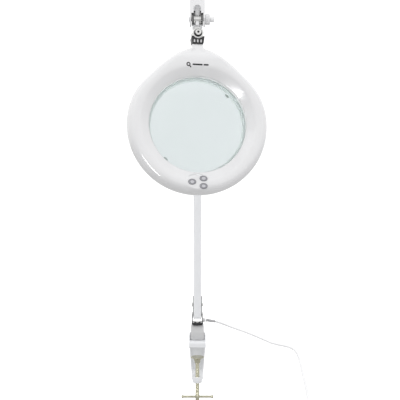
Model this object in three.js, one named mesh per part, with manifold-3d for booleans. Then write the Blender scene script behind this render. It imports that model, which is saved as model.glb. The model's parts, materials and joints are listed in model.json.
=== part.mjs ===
// Magnifying lamp on a spring-balanced two-part arm, held to a table edge by a screw clamp.
// Millimetres, +Z up. The origin is on the underside of the clamp's upper jaw, where it rests on the table
// top, on the axis of the base spigot. The arms reach towards -Y, and +X is to the right of a person who
// faces +Y.
import * as THREE from 'three';
import { mergeVertices } from 'three/addons/utils/BufferGeometryUtils.js';
import Module from 'manifold-3d';

const wasm = await Module();
wasm.setup();

// ---------------------------------------------------------------- driving dimensions
const GAP = 0.3; // between pieces that touch
const RAD = Math.PI / 180;

// arms: two pivots at each end, a parallelogram in side view
const ARM_HALF = 7.6; // half the width of the outer channel
const PIVOT_SPACING = 26;
const LOWER = { length: 430, web: 9, offset: 37 * RAD, pivot: [-9.5, 64] };
const UPPER = { length: 400, web: 9, offset: -12 * RAD, pivot: [-41, 542.5], rise: 3 * RAD };
const PIN_R = 2.5;
const PIN_HOLE_R = 2.8;
const SPRING_PEG_Z = 166; // along the arm, from its first pivot

// clamp
const JAW_THICK = 12;
const TRAY_TOP = 22; // the low walls round the grey socket block
const JAW_FRONT = -26;
const SPINE_FRONT = 12;
const SPINE_BACK = 20;
const CLAMP_HALF = 16.8;
const LOWER_JAW_TOP = -61;
const LOWER_JAW_BOTTOM = -72;
const SCREW_Y = -10;
const BOSS_R = 8.6; // round the screw in the lower jaw
const SCREW_R = 4;
const SCREW_END = -116;
const PAD_TOP = -21;
const BAR_Z = -101;

// base swivel
const SOCKET_HALF = 13.6;
const SOCKET_TOP = 41;
const SOCKET_SCREW_Z = 17.2;
const SPIGOT_R = 6;
const YOKE_BOTTOM = 43.3;

// head: seen square on, a circle that runs up to a short neck along two tangents
const TILT_PIVOT = [-462, 525];
const HEAD_TILT = 7.5 * RAD;
const HEAD_YAW = 8 * RAD;
const ROLL_DROP = 20; // from the tilt pivot to the roll pivot
const RING_DROP = 140; // from the tilt pivot to the lens centre
const RING_R = 88.8;
const TANGENT_ANGLE = 40.3;
const CROWN_ANGLE = 15;
const CROWN_R = 101;
const NECK_TOP = 106.5;
const NECK_SCREW_Z = 93;
const BEZEL_R = 61.5;
const LENS_R = 63.5;
const LENS_CURVE_R = 346; // both faces of a 3 dioptre crown glass lens
const LENS_EDGE = 2.4;
const HEAD_STEPS = 44;
const CLIP_ANGLE = 43; // degrees from the neck, towards +X

// mains cord: out of the gland, down to the table top and along it to a coil
const CORD_R = 2.5;
const RELIEF = { length: 19, droop: 8.5 * RAD };
const CORD_ROUTE = [
  [44, 11.9, 43], [52.5, 11.4, 40.2], [71, 10.2, 33.4], [93, 8, 26], [116, 5, 17.6], [134, 2, 10.4],
  [146, -1.5, 5.8], [157, -6.5, 3.4], [168, -14, 2.5], [178.5, -26, 2.5], [185.5, -43, 2.5],
  [188, -66, 2.5], [187, -100, 2.5], [183, -150, 2.5], [177, -210, 2.5], [169, -290, 2.5],
  [161, -360, 2.5], [156, -400, 2.5],
];
const COIL = { x: 118, y: -437, inner: 16.2, outer: 38.8, turn: 36.25, height: 10.1 };
const PLUG = { gap: 24, z: 7, neck: 20, body: 36, pin: 19 };

// ---------------------------------------------------------------- materials
function finish(color, roughness, metalness) {
  return new THREE.MeshStandardMaterial({ color, roughness, metalness });
}
const gloss_white = finish(0xf1f1f2, 0.25, 0);
const paint_white = finish(0xf4f5f6, 0.4, 0);
const satin_grey = finish(0xc9c9ca, 0.45, 0);
const chrome = finish(0xd8d8d4, 0.12, 1);
const zinc = finish(0xb9b9a2, 0.3, 1);
const spring_steel = finish(0x8f9094, 0.35, 1);
const black_plastic = finish(0x1c1c1e, 0.5, 0);
const button_grey = finish(0x9d9da6, 0.5, 0);
const frosted = finish(0xf7f7f4, 0.6, 0);
const board_green = finish(0x2f6b45, 0.5, 0);
const lens_glass = finish(0xdff3ee, 0.05, 0);
const cord_white = finish(0xececec, 0.5, 0);
const cord_grey = finish(0x6a6a6c, 0.5, 0);

// ---------------------------------------------------------------- shape helpers
function asSolid(geometry) {
  const bare = geometry.index ? geometry.toNonIndexed() : geometry.clone();
  bare.deleteAttribute('normal');
  bare.deleteAttribute('uv');
  const merged = mergeVertices(bare, 1e-4);
  return new wasm.Manifold(
    new wasm.Mesh({
      numProp: 3,
      vertProperties: merged.attributes.position.array,
      triVerts: new Uint32Array(merged.index.array),
    }),
  );
}

function asGeometry(solid) {
  const { vertProperties, triVerts } = solid.getMesh();
  const geometry = new THREE.BufferGeometry();
  geometry.setAttribute('position', new THREE.BufferAttribute(vertProperties, 3));
  geometry.setIndex(new THREE.BufferAttribute(triVerts, 1));
  geometry.computeVertexNormals();
  return geometry;
}

function piece(name, solid, material) {
  const mesh = new THREE.Mesh(asGeometry(solid), material);
  mesh.name = name;
  return mesh;
}

// An outline from corner points [u, v, radius], its corners rounded by curves.
function outline(corners) {
  const shape = new THREE.Shape();
  corners.forEach(([u, v, r = 0], i) => {
    const corner = new THREE.Vector2(u, v);
    const towards = (other) => new THREE.Vector2(...other).sub(corner).setLength(r).add(corner);
    const before = towards(corners.at(i - 1));
    const after = towards(corners[(i + 1) % corners.length]);
    if (i === 0) shape.moveTo(before.x, before.y);
    else shape.lineTo(before.x, before.y);
    if (r > 0) shape.quadraticCurveTo(u, v, after.x, after.y);
  });
  return shape;
}

// A taut band around circles [u, v, radius].
function bandOutline(circles, steps = 18) {
  const points = circles.flatMap(([u, v, r]) =>
    Array.from({ length: steps }, (_, i) => [
      u + r * Math.cos((2 * Math.PI * i) / steps),
      v + r * Math.sin((2 * Math.PI * i) / steps),
    ]),
  );
  points.sort((a, b) => a[0] - b[0] || a[1] - b[1]);
  const turnsRight = (o, a, b) => (a[0] - o[0]) * (b[1] - o[1]) - (a[1] - o[1]) * (b[0] - o[0]) <= 1e-9;
  const halfHull = (list) => {
    const hull = [];
    for (const p of list) {
      while (hull.length > 1 && turnsRight(hull.at(-2), hull.at(-1), p)) hull.pop();
      hull.push(p);
    }
    return hull.slice(0, -1);
  };
  return outline([...halfHull(points), ...halfHull(points.reverse())]);
}

// An outline drawn in the YZ plane, from x0 to x1.
function alongX(shape, x0, x1, curveSegments = 3) {
  const geometry = new THREE.ExtrudeGeometry(shape, { depth: x1 - x0, bevelEnabled: false, curveSegments });
  const turn = new THREE.Matrix4().makeBasis(
    new THREE.Vector3(0, 1, 0),
    new THREE.Vector3(0, 0, 1),
    new THREE.Vector3(1, 0, 0),
  );
  return asSolid(geometry.applyMatrix4(turn).translate(x0, 0, 0));
}

// An outline drawn in the XZ plane, from y0 to y1.
function alongY(shape, y0, y1, curveSegments = 3) {
  const geometry = new THREE.ExtrudeGeometry(shape, { depth: y1 - y0, bevelEnabled: false, curveSegments });
  return asSolid(geometry.rotateX(Math.PI / 2).translate(0, y1, 0));
}

// An outline drawn in the XY plane, from z0 to z1.
function alongZ(shape, z0, z1, curveSegments = 3) {
  const geometry = new THREE.ExtrudeGeometry(shape, { depth: z1 - z0, bevelEnabled: false, curveSegments });
  return asSolid(geometry.translate(0, 0, z0));
}

function block(x0, x1, y0, y1, z0, z1) {
  const box = new THREE.BoxGeometry(x1 - x0, y1 - y0, z1 - z0);
  return asSolid(box.translate((x0 + x1) / 2, (y0 + y1) / 2, (z0 + z1) / 2));
}

// A profile [radius, height] turned about an axis that starts at a point.
function turned(profile, axis, at = [0, 0, 0], segments = 20) {
  const geometry = new THREE.LatheGeometry(
    profile.map((p) => new THREE.Vector2(...p)),
    segments,
  );
  const turn = new THREE.Quaternion().setFromUnitVectors(
    new THREE.Vector3(0, 1, 0),
    new THREE.Vector3(...axis),
  );
  return asSolid(geometry.applyQuaternion(turn).translate(...at));
}

const rod = (r, length, axis, at, segments) =>
  turned([[0, 0], [r, 0], [r, length], [0, length]], axis, at, segments);

// A closed profile [share from bezel to rim, height towards the user] carried round the head's outline.
function carriedRound(profile, steps = HEAD_STEPS) {
  const positions = [];
  const index = [];
  const n = profile.length;
  for (let i = 0; i < steps; i++) {
    const angle = (2 * Math.PI * i) / steps;
    for (const [share, height] of profile) {
      const r = BEZEL_R + share * (rimRadius(angle) - BEZEL_R);
      positions.push(r * Math.sin(angle), -height, r * Math.cos(angle));
    }
    for (let j = 0; j < n; j++) {
      const a = i * n + j;
      const b = i * n + ((j + 1) % n);
      const c = ((i + 1) % steps) * n + ((j + 1) % n);
      const d = ((i + 1) % steps) * n + j;
      index.push(a, b, c, a, c, d);
    }
  }
  const geometry = new THREE.BufferGeometry();
  geometry.setAttribute('position', new THREE.Float32BufferAttribute(positions, 3));
  geometry.setIndex(index);
  return asSolid(geometry);
}

// The head's outer radius at an angle from the neck.
function rimRadius(angle) {
  const fromNeck = Math.abs(Math.atan2(Math.sin(angle), Math.cos(angle))) / RAD;
  if (fromNeck >= TANGENT_ANGLE) return RING_R;
  if (fromNeck >= CROWN_ANGLE) return RING_R / Math.cos((TANGENT_ANGLE - fromNeck) * RAD);
  const edge = RING_R / Math.cos((TANGENT_ANGLE - CROWN_ANGLE) * RAD);
  return edge + (CROWN_R - edge) * (1 - (fromNeck / CROWN_ANGLE) ** 2);
}

// ---------------------------------------------------------------- clamp
function makeClampFrame() {
  const side = outline([
    [JAW_FRONT, 0, 2],
    [SPINE_FRONT, 0, 1],
    [SPINE_FRONT, LOWER_JAW_TOP, 7],
    [SCREW_Y - BOSS_R - 0.4, LOWER_JAW_TOP, 1],
    [SCREW_Y - BOSS_R - 0.4, LOWER_JAW_BOTTOM, 4],
    [SPINE_BACK, LOWER_JAW_BOTTOM, 16],
    [SPINE_BACK, JAW_THICK, 0],
    [JAW_FRONT, JAW_THICK, 5],
  ]);
  const front = outline([
    [CLAMP_HALF, TRAY_TOP, 2],
    [-CLAMP_HALF, TRAY_TOP, 2],
    [-CLAMP_HALF, -2, 4],
    [-12.3, -58, 6],
    [-8.5, LOWER_JAW_BOTTOM, 3],
    [8.5, LOWER_JAW_BOTTOM, 3],
    [12.3, -58, 6],
    [CLAMP_HALF, -2, 4],
  ]);
  const tray = outline([
    [-CLAMP_HALF, -8, 1],
    [CLAMP_HALF, -8, 1],
    [CLAMP_HALF, SPINE_BACK, 3],
    [-CLAMP_HALF, SPINE_BACK, 3],
  ]);
  const socketRoom = block(-SOCKET_HALF - 0.6, SOCKET_HALF + 0.6, -20, 16.4, JAW_THICK, 30);
  const trayWalls = alongZ(tray, JAW_THICK - 1, TRAY_TOP).subtract(socketRoom);
  const pocket = alongY(outline([[-13.2, -4, 3], [-9.4, -53, 3], [9.4, -53, 3], [13.2, -4, 3]]), 9, 16);
  return alongX(side, -CLAMP_HALF, CLAMP_HALF)
    .intersect(alongY(front, -40, 40))
    .add(rod(BOSS_R, LOWER_JAW_TOP - LOWER_JAW_BOTTOM, [0, 0, 1], [0, SCREW_Y, LOWER_JAW_BOTTOM]))
    .add(trayWalls)
    .subtract(pocket)
    .subtract(rod(2, 10, [0, 1, 0], [0, 14, SOCKET_SCREW_Z], 12))
    .subtract(rod(SCREW_R + GAP, 40, [0, 0, 1], [0, SCREW_Y, -90]));
}

function makeSocket() {
  const front = outline([
    [-SOCKET_HALF + 0.8, SOCKET_TOP, 2.5],
    [-SOCKET_HALF, JAW_THICK + GAP, 5],
    [SOCKET_HALF, JAW_THICK + GAP, 5],
    [SOCKET_HALF - 0.8, SOCKET_TOP, 2.5],
  ]);
  const side = new THREE.Shape()
    .moveTo(16, JAW_THICK + GAP)
    .lineTo(16, SOCKET_TOP)
    .lineTo(-11, SOCKET_TOP)
    .quadraticCurveTo(-19, 27, -11.5, JAW_THICK + GAP)
    .closePath();
  return alongX(side, -20, 20, 8)
    .intersect(alongY(front, -30, 30))
    .subtract(rod(SPIGOT_R + GAP, 40, [0, 0, 1], [0, 0, 16]));
}

// A pan-head screw along an axis, its head at the far end.
function makeScrew(shankR, shankLength, headR, headHeight, axis, at, segments = 16) {
  return turned(
    [
      [0, 0],
      [shankR, 0],
      [shankR, shankLength],
      [headR, shankLength],
      [headR, shankLength + headHeight * 0.6],
      [headR * 0.7, shankLength + headHeight],
      [0, shankLength + headHeight],
    ],
    axis,
    at,
    segments,
  );
}

function makePressurePad() {
  return turned(
    [
      [0, PAD_TOP],
      [13, PAD_TOP],
      [13, PAD_TOP - 2],
      [8.5, PAD_TOP - 3.2],
      [5.8, PAD_TOP - 12],
      [SCREW_R + GAP, PAD_TOP - 12],
      [SCREW_R + GAP, PAD_TOP - 6],
      [0, PAD_TOP - 6],
    ].reverse(),
    [0, 0, 1],
    [0, SCREW_Y, 0],
    32,
  );
}

function makeClampScrew() {
  const length = PAD_TOP - 6 - GAP - SCREW_END;
  return turned(
    [[0, 0], [SCREW_R - 1, 0], [SCREW_R, 1], [SCREW_R, length - 1], [SCREW_R - 1, length], [0, length]],
    [0, 0, 1],
    [0, SCREW_Y, SCREW_END],
    20,
  ).subtract(rod(2.55, 20, [1, 0, 0], [-10, SCREW_Y, BAR_Z], 16));
}

function makeTommyBar() {
  const half = 32;
  return turned(
    [[0, -half], [2.4, -half], [3, -half + 1], [3, -half + 3], [2.25, -half + 4.5],
      [2.25, half - 4.5], [3, half - 3], [3, half - 1], [2.4, half], [0, half]],
    [1, 0, 0],
    [0, SCREW_Y, BAR_Z],
    16,
  );
}

const clamp = new THREE.Group();
clamp.add(
  piece('clamp_frame', makeClampFrame(), paint_white),
  piece('pin_socket', makeSocket(), satin_grey),
  piece('socket_screw', makeScrew(1.7, 4, 3.4, 2, [0, 1, 0], [0, 16 + GAP, SOCKET_SCREW_Z], 12), zinc),
  piece('pressure_pad', makePressurePad(), zinc),
  piece('clamp_screw', makeClampScrew(), zinc),
  piece('tommy_bar', makeTommyBar(), zinc),
);

// ---------------------------------------------------------------- base swivel
function makeYoke() {
  const wide = 11.3;
  const narrow = 9.4;
  const half = [
    [wide, YOKE_BOTTOM, 3],
    [wide, 55.4, 1.5],
    [narrow, 58.8, 1.5],
    [narrow, 98, 0],
    [narrow - 1.5, 98, 0],
    [narrow - 1.5, 59.4, 1],
    [wide - 1.8, 55.8, 1],
    [wide - 1.8, YOKE_BOTTOM + 2.5, 1.5],
  ];
  const mirrored = half.map(([x, z, r]) => [-x, z, r]).reverse();
  const side = outline([
    [-12, YOKE_BOTTOM - 1, 0],
    [-17, 52, 3],
    [-17, 68, 6],
    [-6, 98, 7],
    [14, 98, 7],
    [19.5, 84, 6],
    [19.5, 58, 6],
    [14, YOKE_BOTTOM - 1, 0],
  ]);
  const [ay, az] = LOWER.pivot;
  const [by, bz] = secondPivot(LOWER, 0);
  return alongY(outline([...half, ...mirrored]), -25, 25)
    .intersect(alongX(side, -20, 20))
    .subtract(rod(4.3, 10, [0, 0, 1], [0, 0, YOKE_BOTTOM - 3], 16))
    .subtract(rod(PIN_HOLE_R, 40, [1, 0, 0], [-20, ay, az], 16))
    .subtract(rod(PIN_HOLE_R, 40, [1, 0, 0], [-20, by, bz], 16));
}

function makeSpigot() {
  return turned(
    [[0, 16.3], [5, 16.3], [SPIGOT_R, 17.5], [SPIGOT_R, SOCKET_TOP + GAP], [9, SOCKET_TOP + GAP],
      [9, YOKE_BOTTOM - GAP], [4, YOKE_BOTTOM - GAP], [4, YOKE_BOTTOM + 2.5 + GAP],
      [6.6, YOKE_BOTTOM + 2.5 + GAP], [5.6, YOKE_BOTTOM + 5], [0, YOKE_BOTTOM + 6]],
    [0, 0, 1],
    [0, 0, 0],
    24,
  );
}

// A rivet through two plates whose outer faces are at plus and minus reach.
function makeRivet(reach, y, z) {
  const head = 2;
  const far = reach + GAP;
  return turned(
    [[0, -far - head], [3, -far - head], [4.6, -far], [PIN_R, -far],
      [PIN_R, far], [4.6, far], [3, far + head], [0, far + head]],
    [1, 0, 0],
    [0, y, z],
    12,
  );
}

// The second pivot of an arm, at a distance along its length, in the arm's own frame moved to its first
// pivot.
function secondPivot(arm, along) {
  return [
    arm.pivot[0] + PIVOT_SPACING * Math.cos(arm.offset),
    arm.pivot[1] + PIVOT_SPACING * Math.sin(arm.offset) + along,
  ];
}

// The cord leaves through this gland, bolted to the back of the yoke's right cheek.
const GLAND = { x: 11.6, y: 12, z: 48, length: 5, r: 4.2 };
function makeGland() {
  const body = rod(GLAND.r, GLAND.length, [1, 0, 0], [GLAND.x, GLAND.y, GLAND.z], 16);
  return body.subtract(rod(CORD_R + 0.2, 10, [1, 0, 0], [GLAND.x - 2, GLAND.y, GLAND.z], 16));
}

function makeRelief() {
  const axis = [Math.cos(RELIEF.droop), 0, -Math.sin(RELIEF.droop)];
  const start = GLAND.x + GLAND.length + 1;
  const profile = [[0, 0], [3.3, 0], [3.3, 2], [2.9, 2.6], [2.7, RELIEF.length], [0, RELIEF.length]];
  return turned(profile, axis, [start, GLAND.y, GLAND.z], 12);
}

// A round tube through points, with a step every so often.
function tube(points, r, sides, steps) {
  const path = new THREE.CatmullRomCurve3(points.map((p) => new THREE.Vector3(...p)));
  const section = new THREE.Shape();
  for (let i = 0; i < sides; i++) {
    const angle = (2 * Math.PI * (i + 0.5)) / sides;
    const corner = [r * Math.cos(angle), r * Math.sin(angle)];
    if (i === 0) section.moveTo(...corner);
    else section.lineTo(...corner);
  }
  return asSolid(new THREE.ExtrudeGeometry(section, { steps, extrudePath: path, bevelEnabled: false }));
}

function makeMainsCord() {
  const fromGland = GLAND.length + 1 + (RELIEF.length + GAP) * Math.cos(RELIEF.droop);
  const drop = (RELIEF.length + GAP) * Math.sin(RELIEF.droop);
  const exit = [GLAND.x + fromGland, GLAND.y, GLAND.z - drop];
  const reach = Math.sqrt(COIL.outer ** 2 - (COIL.turn - CORD_R) ** 2);
  return tube([exit, ...CORD_ROUTE, [COIL.x + COIL.turn, COIL.y + reach + GAP, CORD_R]], CORD_R, 8, 44);
}

const makeCoil = () => turned(
  [[COIL.inner, 0], [COIL.outer, 0], [COIL.outer, COIL.height], [COIL.inner, COIL.height], [COIL.inner, 0]],
  [0, 0, 1],
  [COIL.x, COIL.y, 0],
  24,
);

// The cord leaves the coil's outermost turn towards -X and goes into the plug.
const PLUG_Y = COIL.y - COIL.turn;
const TAIL_START = COIL.x - Math.sqrt(COIL.outer ** 2 - (COIL.turn - CORD_R) ** 2) - GAP;
const PLUG_START = TAIL_START - PLUG.gap;
function makeCordTail() {
  const top = COIL.height - CORD_R - 0.1;
  const height = (share) => top - (top - PLUG.z) * share;
  const points = [0, 0.35, 0.7, 1].map((share) => [
    TAIL_START - share * (PLUG.gap - GAP),
    PLUG_Y,
    height(share),
  ]);
  return tube(points, CORD_R, 8, 4);
}

function makePlugBody() {
  const back = PLUG_START;
  const face = PLUG_START - PLUG.neck - PLUG.body;
  const plan = outline([
    [back, PLUG_Y + 3.4], [back - PLUG.neck, PLUG_Y + 5, 2], [back - PLUG.neck - 12, PLUG_Y + 17, 6],
    [face, PLUG_Y + 17, 2], [face, PLUG_Y - 17, 2], [back - PLUG.neck - 12, PLUG_Y - 17, 6],
    [back - PLUG.neck, PLUG_Y - 5, 2], [back, PLUG_Y - 3.4],
  ]);
  const side = outline([
    [back, PLUG.z + 3.2], [back - PLUG.neck, PLUG.z + 4.6, 2], [back - PLUG.neck - 8, PLUG.z + 6.8, 3],
    [face, PLUG.z + 6.8, 1], [face, PLUG.z - 6.8, 1], [back - PLUG.neck - 8, PLUG.z - 6.8, 3],
    [back - PLUG.neck, PLUG.z - 4.6, 2], [back, PLUG.z - 3.2],
  ]);
  return alongZ(plan, -5, 30).intersect(alongY(side, PLUG_Y - 30, PLUG_Y + 30));
}

const makePlugPin = (side) =>
  turned([[0, 0], [1.4, 0], [2, 1.2], [2, PLUG.pin], [0, PLUG.pin]], [1, 0, 0],
    [PLUG_START - PLUG.neck - PLUG.body - PLUG.pin - GAP, PLUG_Y + side * 9.4, PLUG.z], 10);

const base = new THREE.Group();
base.add(
  piece('base_spigot', makeSpigot(), chrome),
  piece('base_yoke', makeYoke(), chrome),
  piece('base_rivet_front', makeRivet(9.4, ...LOWER.pivot), chrome),
  piece('base_rivet_rear', makeRivet(9.4, ...secondPivot(LOWER, 0)), chrome),
  piece('cord_gland', makeGland(), black_plastic),
  piece('strain_relief', makeRelief(), cord_grey),
  piece('mains_cord', makeMainsCord(), cord_white),
  piece('cord_coil', makeCoil(), cord_white),
  piece('cord_tail', makeCordTail(), cord_white),
  piece('plug_body', makePlugBody(), cord_white),
  piece('plug_pin_left', makePlugPin(-1), chrome),
  piece('plug_pin_right', makePlugPin(1), chrome),
);

// ---------------------------------------------------------------- arms
// In an arm's own frame the first pivot is the origin, +Z runs along the arm and the outer web faces -Y.
function makeOuterChannel(arm) {
  const end = 12;
  const side = outline([
    [-arm.web, -end, 9],
    [11, -end, 9],
    [11, arm.length + end, 9],
    [-arm.web, arm.length + end, 9],
  ]);
  return alongX(side, -ARM_HALF, ARM_HALF)
    .subtract(block(-ARM_HALF + 1.2, ARM_HALF - 1.2, -arm.web + 1.2, 20, -30, arm.length + 30))
    .subtract(rod(PIN_HOLE_R, 20, [1, 0, 0], [-10, 0, 0], 16))
    .subtract(rod(PIN_HOLE_R, 20, [1, 0, 0], [-10, 0, arm.length], 16))
    .add(rod(1.4, 2 * ARM_HALF, [1, 0, 0], [-ARM_HALF, -2.5, SPRING_PEG_Z], 8));
}

function makeInnerLink(arm) {
  const y = PIVOT_SPACING * Math.cos(arm.offset);
  const z = PIVOT_SPACING * Math.sin(arm.offset);
  const half = 6;
  const front = y - 10.5;
  const back = y + 5.5;
  const side = outline([
    [front, z - 7, 5],
    [back, z - 7, 5],
    [back, z + arm.length + 7, 5],
    [front, z + arm.length + 7, 5],
  ]);
  return alongX(side, -half, half)
    .subtract(block(-half + 1, half - 1, front - 5, back - 1, -60, arm.length + 60))
    .subtract(rod(PIN_HOLE_R, 20, [1, 0, 0], [-10, y, z], 16))
    .subtract(rod(PIN_HOLE_R, 20, [1, 0, 0], [-10, y, z + arm.length], 16));
}

// A spring as one turned body: its coil between a thin hook at each end.
function makeSpring(x) {
  const hook = 0.9;
  const coil = 2.9;
  const end = SPRING_PEG_Z - 2.2;
  return turned(
    [[0, 4], [hook, 4], [hook, 14], [coil, 15], [coil, 150], [hook, 151], [hook, end], [0, end]],
    [0, 0, 1],
    [x, -2.5, 0],
    12,
  );
}

function makeArmLead(arm) {
  const y = PIVOT_SPACING * Math.cos(arm.offset) + 1.6;
  const z = PIVOT_SPACING * Math.sin(arm.offset);
  return rod(2.2, arm.length - 16, [0, 0, 1], [0, y, z + 8], 8);
}

function armGroup(name, arm) {
  const group = new THREE.Group();
  group.add(
    piece(`${name}_channel`, makeOuterChannel(arm), paint_white),
    piece(`${name}_link`, makeInnerLink(arm), paint_white),
    piece(`${name}_spring_left`, makeSpring(-3.15), spring_steel),
    piece(`${name}_spring_right`, makeSpring(3.15), spring_steel),
    piece(`${name}_lead`, makeArmLead(arm), cord_white),
  );
  group.position.set(0, ...arm.pivot);
  return group;
}

const lowerArm = armGroup('lower_arm', LOWER);
const upperArm = armGroup('upper_arm', UPPER);
upperArm.rotation.x = Math.PI / 2 - UPPER.rise;

// A point of the upper arm's own frame, in the part's frame, as [y, z].
function onUpperArm(y, z) {
  const turn = Math.PI / 2 - UPPER.rise;
  return [
    UPPER.pivot[0] + y * Math.cos(turn) - z * Math.sin(turn),
    UPPER.pivot[1] + y * Math.sin(turn) + z * Math.cos(turn),
  ];
}
const UPPER_SECOND = [PIVOT_SPACING * Math.cos(UPPER.offset), PIVOT_SPACING * Math.sin(UPPER.offset)];

// ---------------------------------------------------------------- elbow
const ELBOW_R = 15;
const elbowPivots = [
  [LOWER.pivot[0], LOWER.pivot[1] + LOWER.length],
  secondPivot(LOWER, LOWER.length),
  onUpperArm(...UPPER_SECOND),
  UPPER.pivot,
];

function makeElbowPlate(side) {
  const plate = bandOutline(elbowPivots.map(([y, z]) => [y, z, ELBOW_R - 2]));
  const inner = side * (ARM_HALF + GAP);
  const outer = side * (ARM_HALF + GAP + 1.5);
  return elbowPivots.reduce(
    (solid, [y, z]) => solid.subtract(rod(PIN_HOLE_R, 40, [1, 0, 0], [-20, y, z], 16)),
    alongX(plate, Math.min(inner, outer), Math.max(inner, outer)),
  );
}

// A curved strip over the back and top of the elbow, between its plates.
function makeElbowCover() {
  const [by, bz] = elbowPivots[1];
  const [cy, cz] = elbowPivots[2];
  const tangent = Math.atan2(by - cy, cz - bz);
  const start = tangent - 25 * RAD;
  const end = tangent + 30 * RAD;
  const strip = new THREE.Shape()
    .absarc(by, bz, ELBOW_R, start, tangent, false)
    .absarc(cy, cz, ELBOW_R, tangent, end, false)
    .absarc(cy, cz, ELBOW_R - 1.8, end, tangent, true)
    .absarc(by, bz, ELBOW_R - 1.8, tangent, start, true);
  return alongX(strip, -ARM_HALF, ARM_HALF);
}

const elbow = new THREE.Group();
elbow.add(
  piece('elbow_plate_left', makeElbowPlate(-1), chrome),
  piece('elbow_plate_right', makeElbowPlate(1), chrome),
  piece('elbow_cover', makeElbowCover(), gloss_white),
  ...['lower_front', 'lower_rear', 'upper_rear', 'upper_front'].map((place, i) =>
    piece(`elbow_rivet_${place}`, makeRivet(9.4, ...elbowPivots[i]), chrome),
  ),
);

// ---------------------------------------------------------------- arm end
const HOUSING_HALF = 9.6;
const armEndPivots = [
  onUpperArm(0, UPPER.length),
  onUpperArm(UPPER_SECOND[0], UPPER_SECOND[1] + UPPER.length),
];

function makeArmEndHousing() {
  const wall = 1.7;
  const inside = HOUSING_HALF - wall;
  const [ty, tz] = TILT_PIVOT;
  const [ey, ez] = armEndPivots[1];
  const circles = [[ty, tz, 9.5], [...armEndPivots[0], 15.5], [ey, ez, 14]];
  const room = bandOutline(circles.map(([y, z, r]) => [y, z, r - 1.8]));
  const behind = outline([
    [ty, tz - 20],
    [ty, tz],
    [ey + 3.5, ez + 30],
    [ey + 60, ez + 30],
    [ey + 60, tz - 20],
  ]);
  const slot = outline([[-4.8, tz], [4.8, tz], [4.8, tz + 18, 4], [-4.8, tz + 18, 4]]);
  return armEndPivots.reduce(
    (solid, [y, z]) => solid.subtract(rod(PIN_HOLE_R, 40, [1, 0, 0], [-20, y, z], 12)),
    alongX(bandOutline(circles), -HOUSING_HALF, HOUSING_HALF)
      .subtract(alongX(room, -inside, inside))
      .subtract(alongX(behind, -inside, inside))
      .subtract(block(-inside, inside, ty - 20, ty, tz - 20, tz + 6.5))
      .subtract(alongY(slot, ty - 30, ty))
      .subtract(rod(2.6, 40, [1, 0, 0], [-20, ty, tz], 12)),
  );
}

function makeTiltYoke() {
  const [ty, tz] = TILT_PIVOT;
  const outer = 7.2;
  const inner = 5.2;
  const side = outline([[ty - 7.2, tz - 7.2, 5], [ty + 7.5, tz - 7.2, 5], [ty + 10, tz + 12.5, 2],
    [ty + 5, tz + 12.5, 2], [ty - 6.4, tz + 5.8, 4]]);
  const gap = alongX(outline([[ty - 20, tz - 20, 0], [ty + 7, tz - 20, 0], [ty + 8, tz + 20, 0],
    [ty - 20, tz + 20, 0]]), -inner, inner);
  return alongX(side, -outer, outer).subtract(gap).subtract(rod(2.6, 40, [1, 0, 0], [-20, ty, tz], 16));
}

const TILT_BOLT_LEFT = -HOUSING_HALF - GAP;
function makeTiltBolt() {
  return turned(
    [[0, -1.2], [3.4, -1.2], [4.2, -0.5], [4.2, 0], [2.2, 0], [2.2, 27], [0, 27]],
    [1, 0, 0],
    [TILT_BOLT_LEFT, ...TILT_PIVOT],
    20,
  );
}

function makeTiltKnob() {
  return turned(
    [[0, 8.6], [2.5, 8.6], [2.5, 0], [6.2, 0], [6.9, 0.8], [6.9, 5.4], [6.2, 6.4], [3.4, 6.6],
      [3.4, 11], [2.7, 11.9], [0, 11.9]],
    [1, 0, 0],
    [HOUSING_HALF + GAP, ...TILT_PIVOT],
    18,
  );
}

const armEnd = new THREE.Group();
armEnd.add(
  piece('arm_end_housing', makeArmEndHousing(), paint_white),
  piece('arm_end_rivet_top', makeRivet(HOUSING_HALF, ...armEndPivots[0]), chrome),
  piece('arm_end_rivet_bottom', makeRivet(HOUSING_HALF, ...armEndPivots[1]), chrome),
  piece('tilt_yoke', makeTiltYoke(), chrome),
  piece('tilt_bolt', makeTiltBolt(), chrome),
  piece('tilt_knob', makeTiltKnob(), gloss_white),
);

// ---------------------------------------------------------------- head joint
// In the head's own frame the tilt pivot is the origin and the head hangs along -Z with its user side to -Y.
function makeTiltKnuckle() {
  return rod(5, 9.8, [1, 0, 0], [-4.9, 0, 0], 24)
    .add(rod(3.4, 7, [0, 0, 1], [0, 0, -10], 20))
    .subtract(rod(2.5, 20, [1, 0, 0], [-10, 0, 0], 16))
    .subtract(rod(1.9, 4, [0, 0, 1], [0, 0, -11], 12));
}

function makeRollEye() {
  return rod(6.9, 7.4, [0, 1, 0], [0, -3.7, -ROLL_DROP], 28)
    .add(rod(3.4, 8, [0, 0, 1], [0, 0, -ROLL_DROP + 1.7], 20))
    .add(rod(1.6, 12, [0, 0, 1], [0, 0, -ROLL_DROP + 0.6], 12))
    .subtract(rod(2.3, 20, [0, 1, 0], [0, -10, -ROLL_DROP], 16));
}

// The fork's two round cheeks hold the eye, and its tongue is screwed into the neck.
function makeNeckFork() {
  const cheekFront = -5.8;
  const tongueTop = -ROLL_DROP - 8.6;
  const plate = alongY(
    bandOutline([[0, -ROLL_DROP, 7.5], [0, tongueTop + 2, 5.5]]),
    cheekFront,
    -cheekFront,
  );
  const eyeRoom = block(-10, 10, -4, 4, -ROLL_DROP - 7.4, 0);
  const tongue = block(-4, 4, -2.3, 2.3, -54, tongueTop);
  return plate.subtract(eyeRoom).add(tongue).subtract(rod(2.3, 20, [0, 1, 0], [0, -10, -ROLL_DROP], 16));
}

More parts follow.
